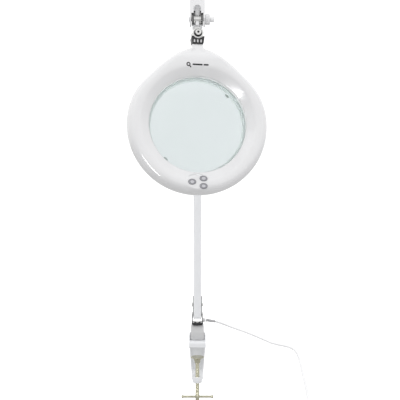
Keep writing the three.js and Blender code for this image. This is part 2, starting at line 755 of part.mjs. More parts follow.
function makeRollScrew() {
  const head = 3;
  return turned(
    [[0, -head], [2.6, -head], [4, -1.4], [4, 0], [2, 0], [2, 14.6], [0, 14.6]],
    [0, 1, 0],
    [0, -5.8 - GAP, -ROLL_DROP],
    20,
  ).subtract(rod(1.6, 1.6, [0, 1, 0], [0, -5.8 - GAP - head - 0.1, -ROLL_DROP], 6));
}

function makeRollNut() {
  return turned(
    [[0, 3], [2.3, 3], [2.3, 0], [4.4, 0], [4.4, 3.4], [2.8, 4.8], [0, 5.2]],
    [0, 1, 0],
    [0, 5.8 + GAP, -ROLL_DROP],
    6,
  );
}

// A black cap that closes the top of the neck around the fork.
function makeNeckCap() {
  const top = -ROLL_DROP - 4.6;
  const bottom = -RING_DROP + NECK_TOP + GAP;
  const front = outline([[-8.3, top, 1], [-7.3, bottom, 0], [7.3, bottom, 0], [8.3, top, 1]]);
  return alongY(front, -7.2, 7.2)
    .subtract(alongY(bandOutline([[0, -ROLL_DROP, 7.9], [0, -ROLL_DROP - 6.6, 5.9]]), -7.3, 6.2))
    .subtract(block(-4.3, 4.3, -2.6, 2.6, -60, 0));
}

// ---------------------------------------------------------------- head
// In the ring's own frame the lens centre is the origin, +Z points to the neck and -Y to the user.
const FRONT_PROFILE = [
  [1, 0.2], [0.99, 4.5], [0.94, 10], [0.84, 14.4], [0.72, 16.7], [0.58, 17.2], [0.42, 16.2],
  [0.26, 13.3], [0.06, 9.4], [0, 8.2], [0, 2], [0.12, 2], [0.12, 8], [0.42, 14], [0.62, 15],
  [0.8, 12.6], [0.91, 6], [0.92, 0.2],
];
const REAR_OUTSIDE = [
  [1, -0.2], [0.1, -0.2], [0.07, -12.6], [0.2, -13.6], [0.83, -13], [0.92, -10.6], [0.99, -5],
];
const TROUGH_IN = 66; // the rear shell's round trough for the light ring
const TROUGH_OUT = 83.2;

// The neck is an oval that narrows upwards, from half widths, half depths and heights.
function makeNeck() {
  const sides = 16;
  const rings = [
    [7.4, 7.4, NECK_TOP],
    [7.8, 7.8, NECK_TOP - 4],
    [11.8, 9.8, NECK_TOP - 10],
    [15.8, 11.3, NECK_TOP - 20],
  ];
  const positions = [0, 0, NECK_TOP, 0, 0, NECK_TOP - 20];
  rings.forEach(([w, d, z]) => {
    for (let i = 0; i < sides; i++) {
      const angle = (2 * Math.PI * i) / sides;
      positions.push(w * Math.cos(angle), d * Math.sin(angle), z);
    }
  });
  const at = (row, i) => 2 + row * sides + (i % sides);
  const index = [];
  for (let i = 0; i < sides; i++) {
    index.push(0, at(0, i), at(0, i + 1), 1, at(3, i + 1), at(3, i));
    for (let row = 0; row < 3; row++) {
      index.push(at(row, i), at(row + 1, i), at(row + 1, i + 1));
      index.push(at(row, i), at(row + 1, i + 1), at(row, i + 1));
    }
  }
  const geometry = new THREE.BufferGeometry();
  geometry.setAttribute('position', new THREE.Float32BufferAttribute(positions, 3));
  geometry.setIndex(index);
  return asSolid(geometry);
}

const tongueRoom = () => block(-4.3, 4.3, -2.6, 2.6, 82, 130);
const frontHalf = () => block(-150, 150, -60, -0.2, -150, 150);
const rearHalf = () => block(-150, 150, 0.2, 60, -150, 150);

const BUTTONS = [
  { name: 'power_button', x: -8.8, z: -75 },
  { name: 'brighter_button', x: 5.2, z: -70.6 },
  { name: 'dimmer_button', x: 5.2, z: -80 },
];
const BUTTON_W = 4.6;
const BUTTON_H = 3.3;
const PAD_H = 17.9;
const PAD = { x: -1.6, z: -75.2, halfWidth: 15.5, halfHeight: 10.4 }; // the soft rise under the buttons
const oval = (x, z, w, h) => new THREE.Shape().absellipse(x, z, w, h, 0, 2 * Math.PI, false, 0);

function makeFrontShell() {
  const pad = alongY(oval(PAD.x, PAD.z, PAD.halfWidth, PAD.halfHeight), -PAD_H, -15.2, 9);
  const shell = carriedRound(FRONT_PROFILE).add(makeNeck().intersect(frontHalf()));
  return BUTTONS.reduce(
    (solid, { x, z }) => solid.subtract(alongY(oval(x, z, BUTTON_W + 0.3, BUTTON_H + 0.3), -30, -9, 4)),
    shell.add(pad).subtract(tongueRoom()),
  );
}

function makeRearShell() {
  const trough = turned(
    [[TROUGH_IN, 5], [TROUGH_OUT, 5], [TROUGH_OUT, 30], [TROUGH_IN, 30], [TROUGH_IN, 5]],
    [0, 1, 0],
    [0, 0, 0],
    HEAD_STEPS,
  );
  return carriedRound(REAR_OUTSIDE)
    .subtract(trough)
    .subtract(carriedRound([[0.92, 1], [0.18, 1], [0.18, -3], [0.92, -3]]))
    .add(makeNeck().intersect(rearHalf()))
    .subtract(tongueRoom())
    .subtract(rod(1.9, 30, [0, 1, 0], [0, 1, NECK_SCREW_Z], 12))
    .subtract(rod(3.6, 30, [0, 1, 0], [0, 10.7, NECK_SCREW_Z], 12));
}

function makeButton({ x, z }) {
  return alongY(oval(x, z, BUTTON_W, BUTTON_H), -PAD_H - 0.9, -14.4, 4).add(
    alongY(oval(x, z, BUTTON_W - 1.2, BUTTON_H - 1), -14.6, -12.4, 4),
  );
}

function makeLens() {
  const steps = 4;
  const half = LENS_EDGE / 2;
  const centreToEdge = Math.sqrt(LENS_CURVE_R ** 2 - LENS_R ** 2);
  const bulge = (r) => half + Math.sqrt(LENS_CURVE_R ** 2 - r ** 2) - centreToEdge;
  const radii = Array.from({ length: steps + 1 }, (_, i) => (LENS_R * i) / steps);
  const front = radii.map((r) => [r, -bulge(r)]);
  const rear = radii.reverse().map((r) => [r, bulge(r)]);
  return turned([...front, ...rear], [0, 1, 0], [0, 0, 0], HEAD_STEPS);
}

// A ring with a four-sided section, from two radii and two heights behind the lens plane.
function flatRing(inner, outer, near, far) {
  const section = [[inner, near], [outer, near], [outer, far], [inner, far], [inner, near]];
  return turned(section, [0, 1, 0], [0, 0, 0], HEAD_STEPS);
}

const RETAINER_FAR = 10.2;

// A spring clip on the rear shell, its foot on the lens retainer, at an angle from the neck.
function lensClip(name, angle) {
  const plate = block(-3, 3, 14, 15.2, 55.5, 65.6);
  const foot = block(-3, 3, RETAINER_FAR + GAP, 14.5, 57.6, 61);
  const clip = piece(name, plate.add(foot), satin_grey);
  clip.rotation.y = angle * RAD;
  return clip;
}

const ring = new THREE.Group();
ring.position.set(0, 0, -RING_DROP);
ring.add(
  piece('head_front_shell', makeFrontShell(), gloss_white),
  piece('head_rear_shell', makeRearShell(), gloss_white),
  piece('lens', makeLens(), lens_glass),
  piece('lens_retainer', flatRing(57, 62.4, 2.8, RETAINER_FAR), gloss_white),
  lensClip('lens_clip_upper', CLIP_ANGLE),
  lensClip('lens_clip_lower', CLIP_ANGLE + 180),
  piece('diffuser_ring', flatRing(TROUGH_IN + GAP, TROUGH_OUT - GAP, 11, 13.6), frosted),
  piece('led_board', flatRing(TROUGH_IN + 1, TROUGH_OUT - 1, 5.3, 6.9), board_green),
  piece('button_board', block(-14, 11, -10.5, -9.1, -81.6, -69.6), board_green),
  piece('neck_screw', makeScrew(1.6, 8, 3.2, 1.8, [0, 1, 0], [0, 3, NECK_SCREW_Z], 12), zinc),
  ...BUTTONS.map((button) => piece(button.name, makeButton(button), button_grey)),
);

const yawed = new THREE.Group();
yawed.rotation.z = HEAD_YAW;
yawed.add(
  piece('roll_eye', makeRollEye(), chrome),
  piece('neck_fork', makeNeckFork(), chrome),
  piece('roll_screw', makeRollScrew(), chrome),
  piece('roll_nut', makeRollNut(), chrome),
  piece('neck_cap', makeNeckCap(), black_plastic),
  ring,
);

const head = new THREE.Group();
head.position.set(0, ...TILT_PIVOT);
head.rotation.x = -HEAD_TILT;
head.add(piece('tilt_knuckle', makeTiltKnuckle(), chrome), yawed);

// ---------------------------------------------------------------- the lamp
const lamp = new THREE.Group();
lamp.add(clamp, base, lowerArm, elbow, upperArm, armEnd, head);

export default lamp;
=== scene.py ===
"""Magnifying lamp: a glass lens in a white ring head, on a spring-balanced arm that is clamped to a table.

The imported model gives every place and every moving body. Each class here is one sub-assembly: its sizes are
dataclass fields in millimetres, and its methods build the pieces, dress them and hand them to the body that
they ride on.
"""

from __future__ import annotations

import json
import logging
import math
from dataclasses import dataclass, field
from enum import Enum
from functools import lru_cache
from typing import Callable, Iterable, Sequence

import bmesh
import bpy
from mathutils import Matrix, Vector


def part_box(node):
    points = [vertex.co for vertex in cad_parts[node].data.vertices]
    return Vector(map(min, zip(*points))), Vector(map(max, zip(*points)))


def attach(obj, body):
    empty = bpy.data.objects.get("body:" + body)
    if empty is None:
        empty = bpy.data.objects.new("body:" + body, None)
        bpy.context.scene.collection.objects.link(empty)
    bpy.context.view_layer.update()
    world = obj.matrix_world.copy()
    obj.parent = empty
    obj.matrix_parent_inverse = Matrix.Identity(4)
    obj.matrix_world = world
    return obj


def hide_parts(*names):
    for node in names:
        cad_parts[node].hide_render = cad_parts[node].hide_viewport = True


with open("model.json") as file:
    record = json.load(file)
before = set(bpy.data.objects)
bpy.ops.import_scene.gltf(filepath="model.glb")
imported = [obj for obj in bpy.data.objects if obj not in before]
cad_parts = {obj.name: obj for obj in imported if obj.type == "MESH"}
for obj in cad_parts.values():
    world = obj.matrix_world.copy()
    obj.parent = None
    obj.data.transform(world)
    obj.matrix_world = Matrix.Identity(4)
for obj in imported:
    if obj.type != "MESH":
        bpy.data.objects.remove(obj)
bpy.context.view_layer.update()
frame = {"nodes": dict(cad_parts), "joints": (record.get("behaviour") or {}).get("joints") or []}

LOG = logging.getLogger("magnifying_lamp")
MM = 0.001
JOINTS = {row["name"]: row for row in frame["joints"]}

Pair = tuple[float, float]
Triple = tuple[float, float, float]
Color = tuple[float, float, float]


class Axis(Enum):
    """The direction that an outline is drawn out along, or that a turned piece stands on."""

    X = 0
    Y = 1
    Z = 2


class Joined(Enum):
    """How two solids are combined."""

    ADD = "UNION"
    CUT = "DIFFERENCE"
    COMMON = "INTERSECT"


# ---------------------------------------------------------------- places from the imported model


def pivot(joint: str) -> Vector:
    """Returns a joint's pivot, in millimetres."""
    return Vector(JOINTS[joint]["pos_m"]) / MM


def direction(joint: str) -> Vector:
    """Returns a joint's axis."""
    return Vector(JOINTS[joint]["axis"]).normalized()


def low(node: str) -> Vector:
    """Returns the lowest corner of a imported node, in millimetres."""
    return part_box(node)[0] / MM


def high(node: str) -> Vector:
    """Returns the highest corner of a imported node, in millimetres."""
    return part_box(node)[1] / MM


@dataclass(frozen=True)
class Placement:
    """The frame that a piece is drawn in: millimetres, with its own right, back and up directions."""

    origin: Vector
    right: Vector = Vector((1, 0, 0))
    up: Vector = Vector((0, 0, 1))

    def matrix(self) -> Matrix:
        """Returns the transform from this frame, in millimetres, to the part's frame, in metres."""
        back = self.up.cross(self.right)
        turn = Matrix((self.right, back, self.up)).transposed().to_4x4()
        return Matrix.Scale(MM, 4) @ Matrix.Translation(self.origin) @ turn

    def moved(self, x: float, y: float, z: float) -> Placement:
        """Returns this frame with its origin moved along its own directions."""
        back = self.up.cross(self.right)
        return Placement(self.origin + self.right * x + back * y + self.up * z, self.right, self.up)


def arm_placement(first: str, last: str) -> Placement:
    """Returns an arm's frame, which starts at its first pivot and runs up to its last one."""
    return Placement(pivot(first), Vector((1, 0, 0)), (pivot(last) - pivot(first)).normalized())


PART = Placement(Vector((0, 0, 0)))
LOWER_ARM = arm_placement("lower_arm_tilt", "elbow_level")
UPPER_ARM = arm_placement("upper_arm_tilt", "arm_end_level")
KNUCKLE = Placement(pivot("head_tilt"), Vector((1, 0, 0)), direction("head_swivel"))
HEAD = Placement(
    pivot("head_tilt"), direction("head_roll").cross(direction("head_swivel")), direction("head_swivel")
)

# ---------------------------------------------------------------- curves and outlines


def smoothstep(value: float, start: float, end: float) -> float:
    """Returns 0 before start, 1 after end and a smooth rise between them."""
    share = min(1.0, max(0.0, (value - start) / (end - start)))
    return share * share * (3 - 2 * share)


def through(points: Sequence[Sequence[float]], steps: int) -> list[Vector]:
    """Draws a centripetal curve through points.

    Args:
        points: the points that the curve goes through.
        steps: how many steps are made between two points.

    Returns:
        The points along the curve, both ends among them.
    """
    knots = [Vector(p) for p in points]
    padded = [knots[0] * 2 - knots[1], *knots, knots[-1] * 2 - knots[-2]]
    found: list[Vector] = []
    for p0, p1, p2, p3 in zip(padded, padded[1:], padded[2:], padded[3:]):
        t1 = max((p1 - p0).length, 1e-6) ** 0.5
        t2 = t1 + max((p2 - p1).length, 1e-6) ** 0.5
        t3 = t2 + max((p3 - p2).length, 1e-6) ** 0.5
        for i in range(steps):
            t = t1 + (t2 - t1) * i / steps
            a1 = p0 * ((t1 - t) / t1) + p1 * (t / t1)
            a2 = p1 * ((t2 - t) / (t2 - t1)) + p2 * ((t - t1) / (t2 - t1))
            a3 = p2 * ((t3 - t) / (t3 - t2)) + p3 * ((t - t2) / (t3 - t2))
            b1 = a1 * ((t2 - t) / t2) + a2 * (t / t2)
            b2 = a2 * ((t3 - t) / (t3 - t1)) + a3 * ((t - t1) / (t3 - t1))
            found.append(b1 * ((t2 - t) / (t2 - t1)) + b2 * ((t - t1) / (t2 - t1)))
    return [*found, knots[-1]]


def rounded(corners: Sequence[Sequence[float]], steps: int = 6) -> list[Vector]:
    """Rounds the corners of a closed outline.

    Args:
        corners: each corner as two coordinates and, if it is round, how far from it its curve starts.
        steps: how many steps each curve has.

    Returns:
        The points round the outline.
    """
    found: list[Vector] = []
    for i, (u, v, *setback) in enumerate(corners):
        corner = Vector((u, v))
        if not setback or not setback[0]:
            found.append(corner)
            continue
        to_last = Vector(corners[i - 1][:2]) - corner
        to_next = Vector(corners[(i + 1) % len(corners)][:2]) - corner
        start = corner + to_last.normalized() * setback[0]
        end = corner + to_next.normalized() * setback[0]
        for step in range(steps + 1):
            t = step / steps
            found.append(start * (1 - t) ** 2 + corner * 2 * t * (1 - t) + end * t * t)
    return found


def circle(u: float, v: float, r: float, steps: int = 40) -> list[Vector]:
    """Returns the points of a circle."""
    return oval(u, v, r, r, steps)


def oval(u: float, v: float, half_width: float, half_height: float, steps: int = 48) -> list[Vector]:
    """Returns the points of an ellipse."""
    angles = [math.tau * i / steps for i in range(steps)]
    return [Vector((u + half_width * math.cos(a), v + half_height * math.sin(a))) for a in angles]


def band(circles: Iterable[Triple], steps: int = 64) -> list[Vector]:
    """Returns the outline of a band pulled taut round circles, each given by its centre and radius."""
    points = sorted((tuple(p) for u, v, r in circles for p in circle(u, v, r, steps)))

    def half(ordered: Sequence[Pair]) -> list[Pair]:
        """Returns the hull's points along one side."""
        hull: list[Pair] = []
        for p in ordered:
            while len(hull) > 1 and turn(hull[-2], hull[-1], p) <= 1e-9:
                hull.pop()
            hull.append(p)
        return hull[:-1]

    def turn(o: Pair, a: Pair, b: Pair) -> float:
        """Returns a positive number where the way from o past a to b turns left."""
        return (a[0] - o[0]) * (b[1] - o[1]) - (a[1] - o[1]) * (b[0] - o[0])

    return [Vector(p) for p in half(points) + half(points[::-1])]


# ---------------------------------------------------------------- solids


class Draft:
    """A solid under construction, in millimetres in the frame of its placement."""

    def __init__(self) -> None:
        """Starts with nothing."""
        self.bm = bmesh.new()

    def skin(self, rings: Sequence[Sequence[Vector]], cyclic: bool = False, closed: bool = True) -> Draft:
        """Joins rings of points into a surface.

        Args:
            rings: rings that all have the same number of points.
            cyclic: whether the last ring is joined to the first.
            closed: whether each ring's last point is joined to its first, with a face over both end rings.

        Returns:
            This draft.
        """
        rows = [[self.bm.verts.new(p) for p in ring] for ring in rings]
        following = rows[1:] + rows[:1] if cyclic else rows[1:]
        for a, b in zip(rows, following):
            for i in range(len(a) if closed else len(a) - 1):
                j = (i + 1) % len(a)
                self.bm.faces.new((a[i], a[j], b[j], b[i]))
        if closed and not cyclic:
            self.bm.faces.new(rows[0][::-1])
            self.bm.faces.new(rows[-1])
        return self.mended()

    def mended(self) -> Draft:
        """Merges doubles and turns the faces outwards."""
        bmesh.ops.remove_doubles(self.bm, verts=self.bm.verts, dist=1e-4)
        bmesh.ops.dissolve_degenerate(self.bm, edges=self.bm.edges, dist=1e-5)
        bmesh.ops.recalc_face_normals(self.bm, faces=self.bm.faces)
        return self

    def combined(self, other: Draft, how: Joined) -> Draft:
        """Adds, cuts away or keeps the common part of another solid, which is used up.

        Args:
            other: the other solid.
            how: the way they are combined.

        Returns:
            This draft.
        """
        mine, theirs = self.shown("mine"), other.shown("theirs")
        step = mine.modifiers.new("step", "BOOLEAN")
        step.operation = how.value
        step.solver = "MANIFOLD"
        step.object = theirs
        mesh = evaluated(mine)
        self.bm = bmesh.new()
        self.bm.from_mesh(mesh)
        bpy.data.meshes.remove(mesh)
        for used in (mine, theirs):
            bpy.data.meshes.remove(used.data)
        return self

    def add(self, *others: Draft) -> Draft:
        """Adds other solids to this one."""
        for other in others:
            self.combined(other, Joined.ADD)
        return self

    def cut(self, *others: Draft) -> Draft:
        """Cuts other solids out of this one."""
        for other in others:
            self.combined(other, Joined.CUT)
        return self

    def common(self, other: Draft) -> Draft:
        """Keeps what this solid and another have in common."""
        return self.combined(other, Joined.COMMON)

    def beside(self, *others: Draft) -> Draft:
        """Takes in other solids that are separate from this one."""
        for other in others:
            mesh = bpy.data.meshes.new("beside")
            other.bm.to_mesh(mesh)
            self.bm.from_mesh(mesh)
            bpy.data.meshes.remove(mesh)
        return self

    def turned(self, matrix: Matrix) -> Draft:
        """Moves or turns what is drawn so far."""
        bmesh.ops.transform(self.bm, matrix=matrix, verts=self.bm.verts)
        return self

    def shown(self, name: str) -> bpy.types.Object:
        """Returns an object in the scene that holds this solid, and frees the draft."""
        mesh = bpy.data.meshes.new(name)
        self.bm.to_mesh(mesh)
        self.bm.free()
        made = bpy.data.objects.new(name, mesh)
        bpy.context.scene.collection.objects.link(made)
        return made


def evaluated(shown: bpy.types.Object) -> bpy.types.Mesh:
    """Returns a plain mesh of an object as its modifiers leave it."""
    bpy.context.view_layer.update()
    graph = bpy.context.evaluated_depsgraph_get()
    return bpy.data.meshes.new_from_object(
        shown.evaluated_get(graph), preserve_all_data_layers=True, depsgraph=graph
    )


def prism(outline: Sequence[Vector], axis: Axis, start: float, end: float) -> Draft:
    """Draws an outline out along an axis.

    Args:
        outline: the points, as (y, z) for the X axis, (x, z) for Y and (x, y) for Z.
        axis: the axis.
        start: where the solid starts on the axis.
        end: where it ends.

    Returns:
        The solid.
    """

    def at(p: Vector, along: float) -> Vector:
        """Returns a point of the outline at a place along the axis."""
        place = [p[0], p[1]]
        place.insert(axis.value, along)
        return Vector(place)

    return Draft().skin([[at(p, along) for p in outline] for along in (start, end)])


def box(low_corner: Triple, high_corner: Triple) -> Draft:
    """Returns a block between two corners."""
    (x0, y0, z0), (x1, y1, z1) = low_corner, high_corner
    return prism([Vector((x0, y0)), Vector((x1, y0)), Vector((x1, y1)), Vector((x0, y1))], Axis.Z, z0, z1)


def lathe(
    profile: Sequence[Sequence[float]],
    axis: Axis = Axis.Z,
    at: Sequence[float] = (0, 0, 0),
    segments: int = 64,
    ring: bool = False,
) -> Draft:
    """Turns a profile about an axis.

    Args:
        profile: points (radius, height along the axis).
        axis: the axis.
        at: the point on the axis where the height is 0.
        segments: the steps round the axis.
        ring: whether the profile closes on itself, away from the axis.

    Returns:
        The solid.
    """
    rings = []
    for r, height in profile:
        points = []
        for i in range(segments):
            angle = math.tau * i / segments
            place = [r * math.cos(angle), r * math.sin(angle)]
            place.insert(axis.value, height)
            points.append(Vector(place) + Vector(at))
        rings.append(points)
    return Draft().skin(rings, cyclic=ring)


def rod(r: float, start: Sequence[float], axis: Axis, length: float, segments: int = 40) -> Draft:
    """Returns a plain round rod, for holes and shanks."""
    return lathe([(0, 0), (r, 0), (r, length), (0, length)], axis, start, segments)


def tube(points: Sequence[Vector], radius: float | Callable[[float], float], sides: int = 12) -> Draft:
    """Draws a round tube along points.

    Args:
        points: the centres of its rings.
        radius: its radius, or a function that gives it for a share of the way.
        sides: the number of sides of its section.

    Returns:
        The solid.
    """
    rings = []
    across = None
    for i, p in enumerate(points):
        ahead = (points[min(i + 1, len(points) - 1)] - points[max(i - 1, 0)]).normalized()
        across = (across or ahead.orthogonal()) - ahead * (across or ahead.orthogonal()).dot(ahead)
        across.normalize()
        over = ahead.cross(across)
        r = radius(i / (len(points) - 1)) if callable(radius) else radius
        angles = [math.tau * k / sides for k in range(sides)]
        rings.append([p + (across * math.cos(a) + over * math.sin(a)) * r for a in angles])
    return Draft().skin(rings)


def copied_node(node: str, flat_within: float = 1.0) -> Draft:
    """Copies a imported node's own solid, with its doubles merged and its flat faces whole.

    Args:
        node: the node's name.
        flat_within: faces that turn less than this many degrees are made one.

    Returns:
        The solid, in millimetres in the part's frame.
    """
    draft = Draft()
    draft.bm.from_mesh(frame["nodes"][node].data)
    bmesh.ops.transform(draft.bm, matrix=Matrix.Scale(1 / MM, 4), verts=draft.bm.verts)
    bmesh.ops.remove_doubles(draft.bm, verts=draft.bm.verts, dist=1e-3)
    bmesh.ops.dissolve_limit(
        draft.bm, angle_limit=math.radians(flat_within), verts=draft.bm.verts, edges=draft.bm.edges
    )
    return draft

# ---------------------------------------------------------------- finishes


class Sketch:
    """Draws a node tree, from left to right."""

    STEP = 190

    def __init__(self, tree: bpy.types.NodeTree) -> None:
        """Takes the tree to draw in."""
        self.tree = tree
        self.column = 0

    def node(self, kind: str, settings: dict | None = None, inputs: dict | None = None) -> bpy.types.Node:
        """Adds a node.

        Args:
            kind: the node's type.
            settings: its properties by name.
            inputs: what its input sockets get: a value, or a socket to link from.

        Returns:
            The node.
        """
        made = self.tree.nodes.new(kind)
        made.location = (self.column * self.STEP, 0)
        self.column += 1
        for name, value in (settings or {}).items():
            setattr(made, name, value)
        for name, value in (inputs or {}).items():
            socket = made.inputs[name]
            if isinstance(value, bpy.types.NodeSocket):
                self.tree.links.new(value, socket)
            else:
                socket.default_value = value
        return made


def shader_group(name: str, inputs: dict[str, tuple[str, object]], outputs: dict[str, str]) -> Sketch:
    """Starts a shader node group.

    Args:
        name: the group's name.
        inputs: for each input its socket type and its default.
        outputs: each output's socket type.

    Returns:
        The sketch of its tree.
    """
    tree = bpy.data.node_groups.new(name, "ShaderNodeTree")
    for title, (kind, default) in inputs.items():
        socket = tree.interface.new_socket(title, in_out="INPUT", socket_type=kind)
        socket.default_value = default
    for title, kind in outputs.items():
        tree.interface.new_socket(title, in_out="OUTPUT", socket_type=kind)
    return Sketch(tree)


FLOAT = "NodeSocketFloat"
COLOR = "NodeSocketColor"


@lru_cache
def grain_group() -> bpy.types.NodeTree:
    """Returns the group for moulded or sprayed grain: a height for the bump and a slight change of tone."""
    sketch = shader_group(
        "surface_grain",
        {"Grains Per Metre": (FLOAT, 900.0), "Tone Change": (FLOAT, 0.02), "Color": (COLOR, (1, 1, 1, 1))},
        {"Height": FLOAT, "Color": COLOR},
    )
    given = sketch.node("NodeGroupInput").outputs
    place = sketch.node("ShaderNodeTexCoord").outputs["Object"]
    fine = sketch.node(
        "ShaderNodeTexNoise", inputs={"Vector": place, "Scale": given["Grains Per Metre"], "Detail": 3.0}
    )
    broad = sketch.node("ShaderNodeTexNoise", inputs={"Vector": place, "Scale": 24.0, "Detail": 2.0})
    spread = sketch.node(
        "ShaderNodeMapRange",
        inputs={
            "Value": broad.outputs["Fac"], "From Min": 0.3, "From Max": 0.7, "To Min": -1.0, "To Max": 1.0
        },
    )
    amount = sketch.node(
        "ShaderNodeMath",
        {"operation": "MULTIPLY"},
        {0: spread.outputs["Result"], 1: given["Tone Change"]},
    )
    toned = sketch.node(
        "ShaderNodeMath", {"operation": "ADD"}, {0: amount.outputs["Value"], 1: 1.0}
    )
    color = sketch.node(
        "ShaderNodeVectorMath",
        {"operation": "SCALE"},
        {0: given["Color"], "Scale": toned.outputs["Value"]},
    )
    sketch.node("NodeGroupOutput", inputs={"Height": fine.outputs["Fac"], "Color": color.outputs["Vector"]})
    return sketch.tree


@lru_cache
def handling_group() -> bpy.types.NodeTree:
    """Returns the group for finger marks and dust: a roughness that changes in patches and thin streaks."""
    sketch = shader_group(
        "handling_marks",
        {"Roughness": (FLOAT, 0.3), "Marks": (FLOAT, 0.05), "Patches Per Metre": (FLOAT, 30.0)},
        {"Roughness": FLOAT},
    )
    given = sketch.node("NodeGroupInput").outputs
    place = sketch.node("ShaderNodeTexCoord").outputs["Object"]
    patches = sketch.node(
        "ShaderNodeTexNoise",
        inputs={"Vector": place, "Scale": given["Patches Per Metre"], "Detail": 4.0, "Distortion": 0.6},
    )
    drawn = sketch.node("ShaderNodeMapping", inputs={"Vector": place, "Scale": (260.0, 260.0, 18.0)})
    streaks = sketch.node(
        "ShaderNodeTexNoise", inputs={"Vector": drawn.outputs["Vector"], "Scale": 1.0, "Detail": 1.0}
    )
    both = sketch.node(
        "ShaderNodeMath",
        {"operation": "MULTIPLY_ADD"},
        {0: streaks.outputs["Fac"], 1: 0.3, 2: patches.outputs["Fac"]},
    )
    centred = sketch.node(
        "ShaderNodeMath", {"operation": "SUBTRACT"}, {0: both.outputs["Value"], 1: 0.62}
    )
    rough = sketch.node(
        "ShaderNodeMath",
        {"operation": "MULTIPLY_ADD", "use_clamp": True},
        {0: centred.outputs["Value"], 1: given["Marks"], 2: given["Roughness"]},
    )
    sketch.node("NodeGroupOutput", inputs={"Roughness": rough.outputs["Value"]})
    return sketch.tree


@lru_cache
def wear_and_shade_group() -> bpy.types.NodeTree:
    """Returns the group for edges rubbed by use and for hollows darkened as painted shade: a colour."""
    sketch = shader_group(
        "edge_wear",
        {
            "Color": (COLOR, (1, 1, 1, 1)),
            "Rubbed Color": (COLOR, (1, 1, 1, 1)),
            "Corner Color": (COLOR, (0, 0, 0, 1)),
            "Amount": (FLOAT, 0.3),
        },
        {"Color": COLOR},
    )
    given = sketch.node("NodeGroupInput").outputs
    point = sketch.node("ShaderNodeNewGeometry").outputs["Pointiness"]
    place = sketch.node("ShaderNodeTexCoord").outputs["Object"]
    broken = sketch.node("ShaderNodeTexNoise", inputs={"Vector": place, "Scale": 180.0, "Detail": 3.0})
    edge = sketch.node("ShaderNodeMapRange", inputs={"Value": point, "From Min": 0.52, "From Max": 0.6})
    # Hollows, where Pointiness is low, are darkened towards a given colour: painted shade, broken up by noise.
    hollow = sketch.node("ShaderNodeMapRange", inputs={"Value": point, "From Min": 0.48, "From Max": 0.4})
    masks = []
    for mask in (edge, hollow):
        patchy = sketch.node(
            "ShaderNodeMath",
            {"operation": "MULTIPLY"},
            {0: mask.outputs["Result"], 1: broken.outputs["Fac"]},
        )
        masks.append(
            sketch.node(
                "ShaderNodeMath",
                {"operation": "MULTIPLY", "use_clamp": True},
                {0: patchy.outputs["Value"], 1: given["Amount"]},
            ).outputs["Value"]
        )
    rubbed = sketch.node(
        "ShaderNodeMix",
        {"data_type": "RGBA"},
        {0: masks[0], 6: given["Color"], 7: given["Rubbed Color"]},
    )
    # Mixes the painted shade into the hollows.
    hollow_shaded = sketch.node(
        "ShaderNodeMix",
        {"data_type": "RGBA"},
        {0: masks[1], 6: rubbed.outputs[2], 7: given["Corner Color"]},
    )
    sketch.node("NodeGroupOutput", inputs={"Color": hollow_shaded.outputs[2]})
    return sketch.tree


def placed_group(sketch: Sketch, tree: bpy.types.NodeTree, inputs: dict) -> bpy.types.Node:
    """Places a shader group in a material and sets its inputs."""
    made = sketch.node("ShaderNodeGroup", {"node_tree": tree})
    for name, value in inputs.items():
        if isinstance(value, bpy.types.NodeSocket):
            sketch.tree.links.new(value, made.inputs[name])
        else:
            made.inputs[name].default_value = value
    return made


@dataclass(frozen=True)
class Finish:
    """A surface finish: its colours, its gloss, the grain and marks on it, and the shade painted into its
    hollows.
    """

    name: str
    slot: str
    color: Color
    roughness: float
    metallic: float = 0.0
    coat: float = 0.0
    coat_roughness: float = 0.06
    specular: float = 0.5
    grains: float = 900.0
    grain_depth: float = 0.02
    tone: float = 0.012
    marks: float = 0.08
    rubbed: Color | None = None
    # corner: the colour painted into hollows as shade; a darker copy of the colour when none is given.
    corner: Color | None = None
    # How much edge wear and painted hollow shade there is.
    wear_and_shade: float = 0.25
    plain: dict = field(default_factory=dict, hash=False, compare=False)

    @lru_cache
    def material(self) -> bpy.types.Material:
        """Returns the material, made once."""
        made = bpy.data.materials.new(self.name)
        made.use_nodes = True
        made.node_tree.nodes.clear()
        sketch = Sketch(made.node_tree)
        rgba = (*self.color, 1.0)
        grain = placed_group(
            sketch, grain_group(), {"Grains Per Metre": self.grains, "Tone Change": self.tone, "Color": rgba}
        )
        edges = placed_group(
            sketch,
            wear_and_shade_group(),
            {
                "Color": grain.outputs["Color"],
                "Rubbed Color": (*(self.rubbed or self.color), 1.0),
                # The corner colour is painted shade for the hollows.
                "Corner Color": (*(self.corner or tuple(0.6 * c for c in self.color)), 1.0),
                "Amount": self.wear_and_shade,
            },
        )
        marks = placed_group(sketch, handling_group(), {"Roughness": self.roughness, "Marks": self.marks})
        bump = sketch.node(
            "ShaderNodeBump",
            inputs={"Strength": self.grain_depth, "Distance": 0.0004, "Height": grain.outputs["Height"]},
        )
        shader = sketch.node(
            "ShaderNodeBsdfPrincipled",
            inputs={
                "Base Color": edges.outputs["Color"],
                "Roughness": marks.outputs["Roughness"],
                "Normal": bump.outputs["Normal"],
                "Metallic": self.metallic,
                "Coat Weight": self.coat,
                "Coat Roughness": self.coat_roughness,
                "Specular IOR Level": self.specular,
                **self.plain,
            },
        )
        sketch.node("ShaderNodeOutputMaterial", inputs={"Surface": shader.outputs["BSDF"]})
        return made


